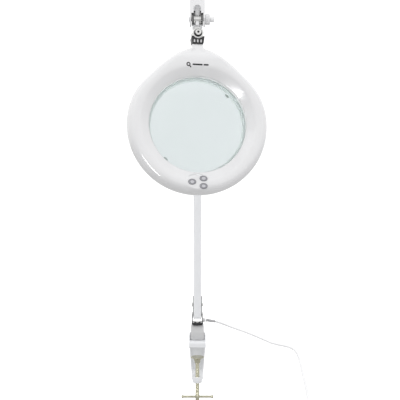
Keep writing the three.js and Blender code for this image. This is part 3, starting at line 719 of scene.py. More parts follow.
GLOSS_WHITE = Finish(
    "gloss_white_plastic", "gloss_white", (0.82, 0.82, 0.83), 0.2, coat=0.4, grain_depth=0.01
)
WHITE_PAINT = Finish(
    "white_powder_coat", "white_paint", (0.84, 0.85, 0.87), 0.34, grains=1500, grain_depth=0.1
)
SOCKET_GREY = Finish("grey_moulding", "grey_socket", (0.62, 0.62, 0.625), 0.4, grains=1800, grain_depth=0.08)
CLIP_GREY = Finish("grey_clip", "clip_grey", (0.42, 0.46, 0.44), 0.45)
CHROME = Finish(
    "chrome_plate", "chrome", (0.79, 0.79, 0.78), 0.07,
    metallic=1.0, grain_depth=0.004, tone=0.02, marks=0.06,
    # corner: the colour of the painted shade in hollows.
    corner=(0.3, 0.29, 0.27), wear_and_shade=0.5,
)
# Chrome with a very dark base colour: painted shade and dark reflection for the yokes' shaded sides.
SHADED_CHROME = Finish(
    "dull_chrome", "chrome", (0.2, 0.2, 0.2), 0.16,
    metallic=1.0, grains=300, grain_depth=0.05, tone=0.2, marks=0.1,
    # corner: the colour of the painted shade in hollows.
    corner=(0.12, 0.12, 0.12), wear_and_shade=0.7,
)
ZINC = Finish(
    "zinc_plate", "zinc_plate", (0.6, 0.58, 0.44), 0.24, metallic=1.0, grains=700, grain_depth=0.06, tone=0.1,
    # corner: the colour of the painted shade in hollows.
    marks=0.2, rubbed=(0.75, 0.74, 0.66), corner=(0.2, 0.18, 0.1), wear_and_shade=0.6,
)
SPRING_STEEL = Finish(
    "spring_steel", "spring_steel", (0.42, 0.42, 0.44), 0.28, metallic=1.0, grain_depth=0.03, tone=0.05,
    # corner: the colour of the painted shade in hollows.
    corner=(0.1, 0.1, 0.1), wear_and_shade=0.5,
)
# Black moulding for the cord tie, and also painted shade on the neck collar, behind the tilt yoke and round the
# yoke's foot.
BLACK_MOULDING_AND_SHADE = Finish(
    "black_moulding", "black_plastic", (0.018, 0.018, 0.02), 0.36, grains=1600, grain_depth=0.1,
    rubbed=(0.06, 0.06, 0.065), wear_and_shade=0.5,
)
RUBBER_GREY = Finish("grey_rubber", "grey_rubber", (0.34, 0.34, 0.37), 0.5, grains=1500, grain_depth=0.12)
RELIEF_RUBBER = Finish("relief_rubber", "grey_rubber", (0.5, 0.5, 0.51), 0.5, grains=1500, grain_depth=0.12)
BUTTON_TOP = Finish("button_top", "grey_rubber", (0.62, 0.62, 0.65), 0.42, grains=1500, grain_depth=0.08)
CORD_PVC = Finish(
    "cord_sheath", "cord_white", (0.88, 0.88, 0.89), 0.4, grains=1300, grain_depth=0.06, tone=0.03
)
# Black for the printed mark, and also painted shade round and inside the roll screw's head.
PRINT_AND_SHADE_BLACK = Finish("printed_mark", "black_plastic", (0.012, 0.012, 0.013), 0.4, grain_depth=0.02)
FROSTED = Finish(
    "frosted_diffuser", "frosted_plastic", (0.88, 0.88, 0.86), 0.5, grains=1200, grain_depth=0.15,
    plain={"Subsurface Weight": 0.25, "Subsurface Scale": 0.002},
)
BOARD = Finish(
    "board_mask", "circuit_board", (0.02, 0.12, 0.05), 0.35, grains=400, grain_depth=0.04, tone=0.15
)
LED_BODY = Finish("led_body", "circuit_board", (0.85, 0.82, 0.6), 0.3)


@dataclass(frozen=True)
class Glass:
    """Polished glass with a faint green tint and a little dust."""

    name: str = "lens_glass"
    slot: str = "lens_glass"
    color: Color = (0.935, 1.0, 0.985)
    roughness: float = 0.06
    index: float = 1.52
    marks: float = 0.03

    @lru_cache
    def material(self) -> bpy.types.Material:
        """Returns the material, made once."""
        made = bpy.data.materials.new(self.name)
        made.use_nodes = True
        made.node_tree.nodes.clear()
        sketch = Sketch(made.node_tree)
        grain = placed_group(
            sketch, grain_group(), {"Tone Change": 0.006, "Color": (*self.color, 1.0)}
        )
        marks = placed_group(sketch, handling_group(), {"Roughness": self.roughness, "Marks": self.marks})
        shader = sketch.node(
            "ShaderNodeBsdfPrincipled",
            inputs={
                "Base Color": grain.outputs["Color"],
                "Roughness": marks.outputs["Roughness"],
                "Transmission Weight": 1.0,
                "IOR": self.index,
            },
        )
        sketch.node("ShaderNodeOutputMaterial", inputs={"Surface": shader.outputs["BSDF"]})
        return made


LENS_GLASS = Glass()

# ---------------------------------------------------------------- from draft to piece


@dataclass(frozen=True)
class Dress:
    """What turns a draft into a piece: its finish, the body it rides on, its edges and its shading."""

    finish: Finish | Glass
    body: str
    place: Placement = PART
    edge: float = 0.0
    shade_angle: float = 40.0
    edge_steps: int = 3


def publish(name: str, draft: Draft, dress: Dress, stands_for: Sequence[str] = ()) -> bpy.types.Object:
    """Makes a finished piece of a draft.

    Args:
        name: the piece's name.
        draft: the solid.
        dress: its finish, body, place and edges.
        stands_for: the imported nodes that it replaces.

    Returns:
        The piece.
    """
    piece = draft.shown(name)
    piece.data.transform(dress.place.matrix())
    if dress.edge:
        bevel = piece.modifiers.new("edge", "BEVEL")
        bevel.width = dress.edge * MM
        bevel.segments = dress.edge_steps
        bevel.angle_limit = math.radians(28)
        bevel.use_clamp_overlap = True
        weighted = piece.modifiers.new("normals", "WEIGHTED_NORMAL")
        weighted.keep_sharp = True
        piece.data = evaluated(piece)
        piece.modifiers.clear()
    piece.data.name = name
    if not dress.edge:
        piece.data.shade_smooth()
        piece.data.set_sharp_from_angle(angle=math.radians(dress.shade_angle))
    return settled(piece, dress, stands_for)


def settled(piece: bpy.types.Object, dress: Dress, stands_for: Sequence[str]) -> bpy.types.Object:
    """Gives a finished mesh its material and body, and hides the nodes it stands for."""
    piece.data.materials.clear()
    piece.data.materials.append(dress.finish.material())
    for polygon in piece.data.polygons:
        polygon.material_index = 0
    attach(piece, dress.body)
    if stands_for:
        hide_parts(*stands_for)
    LOG.info("%s on %s, %d faces", piece.name, dress.body, len(piece.data.polygons))
    return piece


# ---------------------------------------------------------------- what repeats


@dataclass
class GeometryTree:
    """A Geometry Nodes tree with named inputs, whose result is baked to a plain mesh."""

    name: str
    tree: bpy.types.NodeTree = field(init=False)
    sketch: Sketch = field(init=False)
    identifiers: dict[str, str] = field(default_factory=dict)

    def __post_init__(self) -> None:
        """Starts the tree with a geometry going in and one coming out."""
        self.tree = bpy.data.node_groups.new(self.name, "GeometryNodeTree")
        self.tree.interface.new_socket("Geometry", in_out="INPUT", socket_type="NodeSocketGeometry")
        self.tree.interface.new_socket("Geometry", in_out="OUTPUT", socket_type="NodeSocketGeometry")
        self.sketch = Sketch(self.tree)

    def inputs(self, sockets: dict[str, str]) -> bpy.types.bpy_prop_collection:
        """Adds named inputs and returns the group input's sockets."""
        for title, kind in sockets.items():
            made = self.tree.interface.new_socket(title, in_out="INPUT", socket_type=kind)
            self.identifiers[title] = made.identifier
        return self.sketch.node("NodeGroupInput").outputs

    def ended(self, geometry: bpy.types.NodeSocket, material: bpy.types.NodeSocket) -> None:
        """Ends the tree in Realize Instances and Set Material."""
        real = self.sketch.node("GeometryNodeRealizeInstances", inputs={"Geometry": geometry})
        dressed = self.sketch.node(
            "GeometryNodeSetMaterial", inputs={"Geometry": real.outputs["Geometry"], "Material": material}
        )
        self.sketch.node("NodeGroupOutput", inputs={"Geometry": dressed.outputs["Geometry"]})

    def baked(self, carrier: bpy.types.Object, values: dict[str, object]) -> bpy.types.Mesh:
        """Runs the tree on an object and returns the plain mesh.

        Args:
            carrier: the object that carries the modifier, which is used up.
            values: the inputs by name.

        Returns:
            The resulting mesh.
        """
        modifier = carrier.modifiers.new(self.name, "NODES")
        modifier.node_group = self.tree
        for title, value in values.items():
            modifier[self.identifiers[title]] = value
        mesh = evaluated(carrier)
        carrier.modifiers.clear()
        bpy.data.meshes.remove(carrier.data)
        return mesh


@lru_cache
def copies_tree() -> GeometryTree:
    """Returns the tree that puts a copy of one small solid on every point, turned and sized by the point."""
    made = GeometryTree("copies_on_points")
    given = made.inputs(
        {
            "Copied": "NodeSocketObject",
            "Size": "NodeSocketFloat",
            "Size Change": "NodeSocketFloat",
            "Seed": "NodeSocketInt",
            "Material": "NodeSocketMaterial",
        }
    )
    copied = made.sketch.node("GeometryNodeObjectInfo", inputs={"Object": given["Copied"]})
    turn = made.sketch.node(
        "GeometryNodeInputNamedAttribute", {"data_type": "FLOAT_VECTOR"}, {"Name": "turn"}
    )
    size = made.sketch.node(
        "GeometryNodeInputNamedAttribute", {"data_type": "FLOAT_VECTOR"}, {"Name": "size"}
    )
    chance = made.sketch.node(
        "FunctionNodeRandomValue", {"data_type": "FLOAT"}, {2: -1.0, 3: 1.0, "Seed": given["Seed"]}
    )
    change = made.sketch.node(
        "ShaderNodeMath",
        {"operation": "MULTIPLY_ADD"},
        {0: chance.outputs[1], 1: given["Size Change"], 2: given["Size"]},
    )
    scaled = made.sketch.node(
        "ShaderNodeVectorMath",
        {"operation": "SCALE"},
        {0: size.outputs[0], "Scale": change.outputs["Value"]},
    )
    placed = made.sketch.node(
        "GeometryNodeInstanceOnPoints",
        inputs={
            "Points": given["Geometry"],
            "Instance": copied.outputs["Geometry"],
            "Rotation": turn.outputs[0],
            "Scale": scaled.outputs["Vector"],
        },
    )
    made.ended(placed.outputs["Instances"], given["Material"])
    return made


@dataclass(frozen=True)
class Spot:
    """Where one copy goes: its place, its turn in radians about X, Y and Z, and its size on each axis."""

    place: Triple
    turn: Triple = (0.0, 0.0, 0.0)
    size: Triple = (1.0, 1.0, 1.0)


def copies(shape: Draft, spots: Sequence[Spot], finish: Finish, change: float = 0.0) -> Draft:
    """Puts a copy of a small solid on every spot, by Geometry Nodes.

    Args:
        shape: the solid, drawn about the origin.
        spots: where the copies go.
        finish: the finish they get.
        change: how much the copies' sizes differ.

    Returns:
        All the copies as one draft.
    """
    copied = shape.shown("copied")
    carrier = bpy.data.objects.new("spots", bpy.data.meshes.new("spots"))
    bpy.context.scene.collection.objects.link(carrier)
    carrier.data.from_pydata([spot.place for spot in spots], [], [])
    for title, values in (("turn", [s.turn for s in spots]), ("size", [s.size for s in spots])):
        attribute = carrier.data.attributes.new(title, "FLOAT_VECTOR", "POINT")
        attribute.data.foreach_set("vector", [x for value in values for x in value])
    mesh = copies_tree().baked(
        carrier,
        {"Copied": copied, "Size": 1.0, "Size Change": change, "Seed": 7, "Material": finish.material()},
    )
    draft = Draft()
    draft.bm.from_mesh(mesh)
    bpy.data.meshes.remove(mesh)
    bpy.data.meshes.remove(copied.data)
    return draft


@lru_cache
def helix_tree() -> GeometryTree:
    """Returns the tree that winds a wire or a thread along +Z."""
    made = GeometryTree("wound_wire")
    given = made.inputs(
        {
            "Turns": "NodeSocketFloat",
            "Radius": "NodeSocketFloat",
            "Length": "NodeSocketFloat",
            "Wire Radius": "NodeSocketFloat",
            "Wire Sides": "NodeSocketInt",
            "Steps Per Turn": "NodeSocketInt",
            "Material": "NodeSocketMaterial",
        }
    )
    wound = made.sketch.node(
        "GeometryNodeCurveSpiral",
        inputs={
            "Resolution": given["Steps Per Turn"],
            "Rotations": given["Turns"],
            "Start Radius": given["Radius"],
            "End Radius": given["Radius"],
            "Height": given["Length"],
        },
    )
    section = made.sketch.node(
        "GeometryNodeCurvePrimitiveCircle",
        inputs={"Resolution": given["Wire Sides"], "Radius": given["Wire Radius"]},
    )
    wire = made.sketch.node(
        "GeometryNodeCurveToMesh",
        inputs={
            "Curve": wound.outputs["Curve"], "Profile Curve": section.outputs["Curve"], "Fill Caps": True
        },
    )
    made.ended(wire.outputs["Mesh"], given["Material"])
    return made


def helix(turns: float, radius: float, length: float, wire: float, finish: Finish, sides: int = 8) -> Draft:
    """Winds a wire of a radius about +Z, by Geometry Nodes, and returns it as a draft."""
    carrier = bpy.data.objects.new("wire", bpy.data.meshes.new("wire"))
    bpy.context.scene.collection.objects.link(carrier)
    mesh = helix_tree().baked(
        carrier,
        {
            "Turns": turns,
            "Radius": radius,
            "Length": length,
            "Wire Radius": wire,
            "Wire Sides": sides,
            "Steps Per Turn": 24,
            "Material": finish.material(),
        },
    )
    draft = Draft()
    draft.bm.from_mesh(mesh)
    bpy.data.meshes.remove(mesh)
    return draft.mended()


@dataclass
class Rivets:
    """Domed rivets through two plates, all of one body as one piece."""

    name: str
    body: str
    nodes: Sequence[str]
    head_radius: float = 4.5
    head_height: float = 1.95
    shank_radius: float = 2.4
    gap: float = 0.3
    finish: Finish = CHROME

    def build(self) -> None:
        """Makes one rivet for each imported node, at its middle and as long as it is."""
        reach = high(self.nodes[0]).x - self.head_height - self.gap
        dome = [
            (self.head_radius * math.cos(a), reach + self.gap + self.head_height * math.sin(a))
            for a in (math.pi / 2 * i / 8 for i in range(9))
        ]
        half = [(self.shank_radius, 0.0), (self.shank_radius, reach + self.gap), *dome]
        profile = [(r, -h) for r, h in half[::-1]] + half[1:]
        rivet = lathe(profile, Axis.X, segments=28)
        spots = []
        for node in self.nodes:
            middle = (low(node) + high(node)) / 2
            spots.append(Spot((0.0, middle.y, middle.z)))
        draft = copies(rivet, spots, self.finish)
        publish(self.name, draft, Dress(self.finish, self.body, shade_angle=35), self.nodes)

# ---------------------------------------------------------------- camera, floor and light


@dataclass(frozen=True)
class Softbox:
    """An area light: its place, what it faces, its size in metres and its power in watts."""

    name: str
    place: Triple
    faces: Triple
    size: Pair
    power: float
    lights_paint: bool = True


@dataclass
class Studio:
    """The camera, a plain pale floor and soft light."""

    lens: float = 57.45
    shift: float = 0.0065
    sensor: float = 36.0
    eye: Triple = (0.0, -1.286, 0.292)
    floor_height: float = -0.135
    floor_size: float = 12.0
    room_light: float = 1.14
    softboxes: tuple[Softbox, ...] = (
        Softbox("key", (-0.9, -1.3, 1.5), (0.0, -0.4, 0.35), (0.9, 0.9), 1.2),
        Softbox("fill", (1.2, -1.2, 0.5), (0.0, -0.4, 0.3), (1.0, 1.2), 0.5),
        Softbox("top", (0.0, -0.3, 1.9), (0.0, -0.3, 0.3), (1.4, 1.4), 1.2),
        Softbox("window", (-0.318, -0.87, 0.137), (0.04, -0.49, 0.43), (0.1, 0.27), 1.6, lights_paint=False),
    )

    def camera(self) -> None:
        """Places the camera level, at the height of the lamp's middle."""
        data = bpy.data.cameras.new("camera")
        data.lens = self.lens
        data.sensor_width = self.sensor
        data.shift_x = self.shift
        data.clip_start = 0.02
        data.clip_end = 60
        made = bpy.data.objects.new("camera", data)
        made.location = self.eye
        made.rotation_euler = (math.pi / 2, 0, 0)
        bpy.context.scene.collection.objects.link(made)
        bpy.context.scene.camera = made

    def light(self) -> None:
        """Makes the softboxes and the surroundings."""
        for box_light in self.softboxes:
            data = bpy.data.lights.new(box_light.name, "AREA")
            data.shape = "RECTANGLE"
            data.size, data.size_y = box_light.size
            data.energy = box_light.power
            made = bpy.data.objects.new(box_light.name, data)
            made.location = box_light.place
            aim = Vector(box_light.faces) - Vector(box_light.place)
            made.rotation_euler = aim.to_track_quat("-Z", "Y").to_euler()
            made.visible_camera = False
            made.visible_diffuse = box_light.lights_paint
            bpy.context.scene.collection.objects.link(made)
        self.surroundings()
        bpy.context.scene.view_settings.view_transform = "Standard"

    def surroundings(self) -> None:
        """Makes the sky white, with darker walls that only the gloss and the light see."""
        world = bpy.data.worlds.new("studio")
        bpy.context.scene.world = world
        world.use_nodes = True
        world.node_tree.nodes.clear()
        sketch = Sketch(world.node_tree)
        heading = sketch.node("ShaderNodeTexCoord").outputs["Generated"]
        parts = sketch.node("ShaderNodeSeparateXYZ", inputs={"Vector": heading})
        height = sketch.node(
            "ShaderNodeMapRange", inputs={"Value": parts.outputs["Z"], "From Min": -1.0, "From Max": 1.0}
        )
        ramp = sketch.node("ShaderNodeValToRGB", inputs={"Fac": height.outputs["Result"]})
        stops = ((0.0, 0.1), (0.27, 0.1), (0.44, 0.7), (0.55, 1.0), (0.85, 1.0), (0.97, 0.45))
        while len(ramp.color_ramp.elements) < len(stops):
            ramp.color_ramp.elements.new(0.5)
        for element, (place, grey) in zip(ramp.color_ramp.elements, stops):
            element.position = place
            element.color = (grey, grey, grey, 1)
        walls = sketch.node("ShaderNodeBackground", inputs={"Color": ramp.outputs["Color"], "Strength": 1.0})
        room = sketch.node(
            "ShaderNodeBackground", inputs={"Color": (1, 1, 1, 1), "Strength": self.room_light}
        )
        white = sketch.node("ShaderNodeBackground", inputs={"Color": (1, 1, 1, 1), "Strength": 1.2})
        rays = sketch.node("ShaderNodeLightPath")
        either = sketch.node(
            "ShaderNodeMath",
            {"operation": "MAXIMUM"},
            {0: rays.outputs["Is Camera Ray"], 1: rays.outputs["Is Transmission Ray"]},
        )
        lit = sketch.node(
            "ShaderNodeMixShader",
            inputs={
                0: rays.outputs["Is Diffuse Ray"], 1: walls.outputs["Background"],
                2: room.outputs["Background"]
            },
        )
        mixed = sketch.node(
            "ShaderNodeMixShader",
            inputs={0: either.outputs["Value"], 1: lit.outputs["Shader"], 2: white.outputs["Background"]},
        )
        sketch.node("ShaderNodeOutputWorld", inputs={"Surface": mixed.outputs["Shader"]})

    def floor(self) -> None:
        """Lays a plain pale floor below the clamp's screw."""
        half = self.floor_size / 2
        mesh = bpy.data.meshes.new("floor")
        corners = [(-half, -half), (half, -half), (half, half), (-half, half)]
        mesh.from_pydata([(x, y, self.floor_height) for x, y in corners], [], [(0, 1, 2, 3)])
        made = bpy.data.objects.new("floor", mesh)
        bpy.context.scene.collection.objects.link(made)
        material = bpy.data.materials.new("pale_floor")
        material.use_nodes = True
        material.node_tree.nodes.clear()
        sketch = Sketch(material.node_tree)
        rays = sketch.node("ShaderNodeLightPath")
        seen = sketch.node(
            "ShaderNodeMath",
            {"operation": "MAXIMUM"},
            {0: rays.outputs["Is Camera Ray"], 1: rays.outputs["Is Transmission Ray"]},
        )
        shader = sketch.node(
            "ShaderNodeBsdfPrincipled",
            inputs={
                "Base Color": (0.5, 0.5, 0.5, 1),
                "Roughness": 0.9,
                "Emission Color": (1, 1, 1, 1),
                "Emission Strength": seen.outputs["Value"],
            },
        )
        sketch.node("ShaderNodeOutputMaterial", inputs={"Surface": shader.outputs["BSDF"]})
        mesh.materials.append(material)


# ---------------------------------------------------------------- mains cord


@dataclass
class MainsCord:
    """The cord from the base: down to the table top, along it and into a tied coil, with its plug."""

    radius: float = 2.5
    slimmed: float = 0.14
    body: str = "base_swivel"
    exit_droop: float = math.radians(8.5)
    relief_length: float = 19.0
    route: tuple[Triple, ...] = (
        (44, 11.9, 43), (52.5, 11.4, 40.2), (71, 10.2, 33.4), (93, 8, 26), (116, 5, 17.6), (134, 2, 10.4),
        (146, -1.5, 5.8), (157, -6.5, 3.4), (168, -14, 2.5), (178.5, -26, 2.5), (185.5, -43, 2.5),
        (188, -66, 2.5), (187, -100, 2.5), (183, -150, 2.5), (177, -210, 2.5), (169, -290, 2.5),
        (161, -360, 2.5), (156, -400, 2.5),
    )
    coil_outer: float = 36.25
    coil_inner: float = 20.0
    lower_turns: float = 3.25
    upper_turns: float = 3.0
    steps_per_turn: int = 32
    layer_height: float = 5.0
    tie_half_width: float = 3.5

    def build(self) -> None:
        coil = (low("cord_coil") + high("cord_coil")) / 2
        self.centre = Vector((coil.x, coil.y, 0))
        line = self.centreline()
        relief = self.strain_relief()
        tie = self.tie()
        plug = self.plug()
        pins = [self.pin(node) for node in ("plug_pin_left", "plug_pin_right")]
        dress = Dress(CORD_PVC, self.body, shade_angle=60)
        sheath = tube(line, self.radius - self.slimmed, 16)
        cord = publish("cord", sheath, dress, ("mains_cord", "cord_coil", "cord_tail"))

    def exit_point(self) -> Vector:
        """Returns the point where the cord leaves the strain relief."""
        gland = (low("cord_gland") + high("cord_gland")) / 2
        reach = self.relief_length + 0.3
        start = high("cord_gland").x + 1
        turned = Vector((math.cos(self.exit_droop), 0, -math.sin(self.exit_droop)))
        return Vector((start, 12.0, gland.z)) + turned * reach

    def centreline(self) -> list[Vector]:
        """Returns the points along the middle of the whole cord."""
        laid = through([self.exit_point(), *self.route, (self.centre.x + self.coil_outer, -420, 2.5)], 6)
        wound = self.turns()
        tail_end = Vector((high("cord_tail").x, wound[-1].y, wound[-1].z))
        last = Vector((low("cord_tail").x - 1.5, wound[-1].y, (low("plug_body").z + high("plug_body").z) / 2))
        tail = through([wound[-1], tail_end, (tail_end + last) / 2 + Vector((0, 0, 0.1)), last], 5)
        return [*laid, *wound[1:], *tail[1:]]

    def turns(self) -> list[Vector]:
        """Returns the coil's turns: inwards on the table, then outwards on top of them."""
        total = self.lower_turns + self.upper_turns
        count = round(total * self.steps_per_turn)
        found = []
        for i in range(count + 1):
            turn = total * i / count
            if turn < self.lower_turns:
                share = turn / self.lower_turns
            else:
                share = 1 - (turn - self.lower_turns) / self.upper_turns
            r = self.coil_outer + (self.coil_inner - self.coil_outer) * share
            climb = smoothstep(turn, self.lower_turns - 0.3, self.lower_turns)
            z = self.radius + self.layer_height * climb
            angle = -math.tau * turn
            found.append(self.centre + Vector((r * math.cos(angle), r * math.sin(angle), z)))
        return found

    def strain_relief(self) -> bpy.types.Object:
        """Makes the tapered sleeve with its rings, round the cord where it leaves the gland."""
        tip = 2.75
        root = 3.1
        sleeve = [(0, 0), (3.3, 0), (3.3, 2.0), (3.0, 2.6)]
        end = self.relief_length
        sleeve += [(root + (tip - root) * t - 0.35, 3.4 + (end - 3.4) * t) for t in (0, 0.5, 1)]
        sleeve += [(tip - 0.8, end), (0, end)]
        draft = lathe(sleeve, Axis.X)
        ring = lathe([(2.2, -0.8), (3.0, -0.7), (3.1, 0), (3.0, 0.7), (2.2, 0.8)], Axis.X, ring=True)
        spots = []
        for i in range(6):
            share = i / 5
            width = (root + (tip - root) * share) / root
            spots.append(Spot((4.8 + 12.4 * share, 0, 0), size=(0.9, width, width)))
        draft.beside(copies(ring, spots, RELIEF_RUBBER))
        start = Vector((high("cord_gland").x + 1, 12.0, self.exit_point().z))
        start.z += (self.relief_length + 0.3) * math.sin(self.exit_droop)
        down = Vector((math.sin(self.exit_droop), 0, math.cos(self.exit_droop)))
        place = Placement(start, Vector((math.cos(self.exit_droop), 0, -math.sin(self.exit_droop))), down)
        return publish("cord_relief", draft, Dress(RELIEF_RUBBER, self.body, place), ("strain_relief",))

    def tie(self) -> bpy.types.Object:
        """Makes the band that holds the coil's turns together."""
        inner, outer = self.coil_inner - self.radius, self.coil_outer + self.radius
        height = 2 * self.layer_height
        middle = (inner + outer) / 2
        half = (outer - inner) / 2
        section = rounded(
            [
                (-half - 0.5, 0.1, 2.5), (half + 0.5, 0.1, 2.5), (half + 0.5, height, 2.5),
                (-half - 0.5, height, 2.5)
            ]
        )
        cord_room = [p * 0.97 + Vector((0, height / 2)) * 0.03 for p in section]
        rings = []
        for y in (-self.tie_half_width, self.tie_half_width):
            rings.append([Vector((p.x, y, p.y)) for p in section])
        for y in (self.tie_half_width, -self.tie_half_width):
            rings.append([Vector((p.x, y, p.y)) for p in cord_room])
        draft = Draft().skin(rings, cyclic=True)
        place = PART.moved(*(self.centre + Vector((-middle, 0, 0))))
        return publish("cord_tie", draft, Dress(BLACK_MOULDING_AND_SHADE, self.body, place, edge=0.15))

    def plug(self) -> bpy.types.Object:
        """Makes the moulded plug, with a ribbed neck."""
        lowest, highest = low("plug_body"), high("plug_body")
        y = (lowest.y + highest.y) / 2
        z = (lowest.z + highest.z) / 2
        sections = [
            (0, 3.2, 3.2, 2), (3, 3.6, 3.5, 2), (19, 4.8, 4.5, 2), (23, 7, 5.4, 2.2), (28, 12.5, 6.3, 2.6),
            (34, 16.2, 6.75, 3.4), (42, 16.9, 6.8, 4), (54.5, 16.9, 6.8, 4), (56, 16.2, 6.1, 4),
        ]
        rings = []
        for along, width, depth, power in sections:
            ring = []
            for k in range(48):
                c, s = math.cos(math.tau * k / 48), math.sin(math.tau * k / 48)
                across = width * math.copysign(abs(c) ** (2 / power), c)
                over = depth * math.copysign(abs(s) ** (2 / power), s)
                ring.append(Vector((highest.x - along, y + across, z + over)))
            rings.append(ring)
        draft = Draft().skin(rings)
        rib = lathe([(3.4, -0.7), (4.4, -0.55), (4.4, 0.55), (3.4, 0.7)], Axis.X, ring=True, segments=32)
        spots = [
            Spot((highest.x - 4 - 2.6 * i, y, z), size=(1, 1 + 0.05 * i, 1 + 0.03 * i)) for i in range(6)
        ]
        draft.beside(copies(rib, spots, CORD_PVC))
        return publish("mains_plug", draft, Dress(CORD_PVC, self.body, shade_angle=50), ("plug_body",))

    def pin(self, node: str) -> bpy.types.Object:
        """Makes one round pin of the plug, with a rounded tip."""
        lowest, highest = low(node), high(node)
        r = (highest.y - lowest.y) / 2
        length = highest.x - lowest.x
        tip = [(r * math.sin(a), r * (1 - math.cos(a))) for a in (math.pi / 2 * i / 8 for i in range(9))]
        draft = lathe([*tip, (r, length), (0, length)], Axis.X, segments=32)
        place = PART.moved(lowest.x, (lowest.y + highest.y) / 2, (lowest.z + highest.z) / 2)
        return publish(f"{node}_turned", draft, Dress(CHROME, self.body, place), (node,))

# ---------------------------------------------------------------- head

LENS_CENTRE = (low("lens") + high("lens")) / 2
RING = Placement(LENS_CENTRE, HEAD.right, HEAD.up)


@dataclass
class HeadOutline:
    """The head seen square on: a circle that runs up to a short neck. Angles are in degrees from the neck.

    A shoulder is arcs that follow on smoothly from the circle. Each has its radius, the angle where it ends and
    its number of points.
    """

    bezel_radius: float = 61.5
    ring_radius: float = 88.8
    neck_half_width: float = 7.2
    neck_top: float = 106.5
    circle_from: float = 74.0
    shoulder_arcs: tuple[tuple[float, float, int], ...] = ((75.0, 48.0, 4), (280.0, 37.0, 3), (65.0, 20.0, 3))
    neck_lines_to: float = 16.0
    spacing: float = 1.7

    def shoulder(self) -> list[Pair]:
        """Returns the points of the right shoulder, from the neck down to the start of the circle."""
        angle = math.radians(self.circle_from)
        x, z = self.ring_radius * math.sin(angle), self.ring_radius * math.cos(angle)
        points = [(x, z)]
        for radius, ends_at, steps in self.shoulder_arcs:
            centre = (x - radius * math.sin(angle), z - radius * math.cos(angle))
            end = math.radians(ends_at)
            for k in range(1, steps + 1):
                a = angle + (end - angle) * k / steps
                x, z = centre[0] + radius * math.sin(a), centre[1] + radius * math.cos(a)
                points.append((x, z))
            angle = end
        return points[::-1]

    def half(self) -> list[Vector]:
        """Returns the outline from the top of the neck round the right side to the bottom."""
        w, top = self.neck_half_width, self.neck_top
        cap = [
            Vector((w * k / 4, top))
            for k in range(4)
        ] + [Vector((w - 0.5, top)), Vector((w - 0.1, top - 0.3))]
        side = [(w, top - 1), (w + 0.1, top - 3.5), (w + 0.9, top - 5.3), *self.shoulder()]
        curved = [p.to_2d() for p in through([(x, z, 0) for x, z in side], 10)]
        steps = round(math.radians(180 - self.circle_from) * self.ring_radius / self.spacing)
        arc = []
        for i in range(1, steps + 1):
            a = math.radians(self.circle_from + (180 - self.circle_from) * i / steps)
            arc.append(Vector((self.ring_radius * math.sin(a), self.ring_radius * math.cos(a))))
        return [*cap, *curved, *arc]

    def lines(self) -> list[tuple[Vector, Vector]]:
        """Returns, all round the head, pairs of a point on the bezel's edge and one on the outline."""
        right = self.half()
        along = [0.0]
        for a, b in zip(right, right[1:]):
            along.append(along[-1] + (b - a).length)
        angles = [math.degrees(math.atan2(p.x, p.y)) for p in right]
        neck_end = next(i for i, a in enumerate(angles) if a >= self.neck_lines_to and right[i].y < 97)
        pairs = []
        for i, p in enumerate(right):
            angle = angles[neck_end] * along[i] / along[neck_end] if i < neck_end else angles[i]
            a = math.radians(angle)
            pairs.append((Vector((math.sin(a), math.cos(a))) * self.bezel_radius, p))
        mirrored = [(Vector((-b.x, b.y)), Vector((-p.x, p.y))) for b, p in pairs[1:-1][::-1]]
        return [*pairs, *mirrored]


def curve_height(table: Sequence[Pair], at: float) -> float:
    """Returns the height that a table of (distance, height) gives, straight between its rows."""
    if at <= table[0][0]:
        return table[0][1]
    for (x0, y0), (x1, y1) in zip(table, table[1:]):
        if at <= x1:
            return y0 + (y1 - y0) * (at - x0) / (x1 - x0)
    return table[-1][1]


def smooth_table(table: Sequence[Pair]) -> list[Pair]:
    """Returns a table of (distance, height) with a smooth curve drawn through its rows."""
    return [(p.x, p.y) for p in through([(x, y, 0) for x, y in table], 8)]


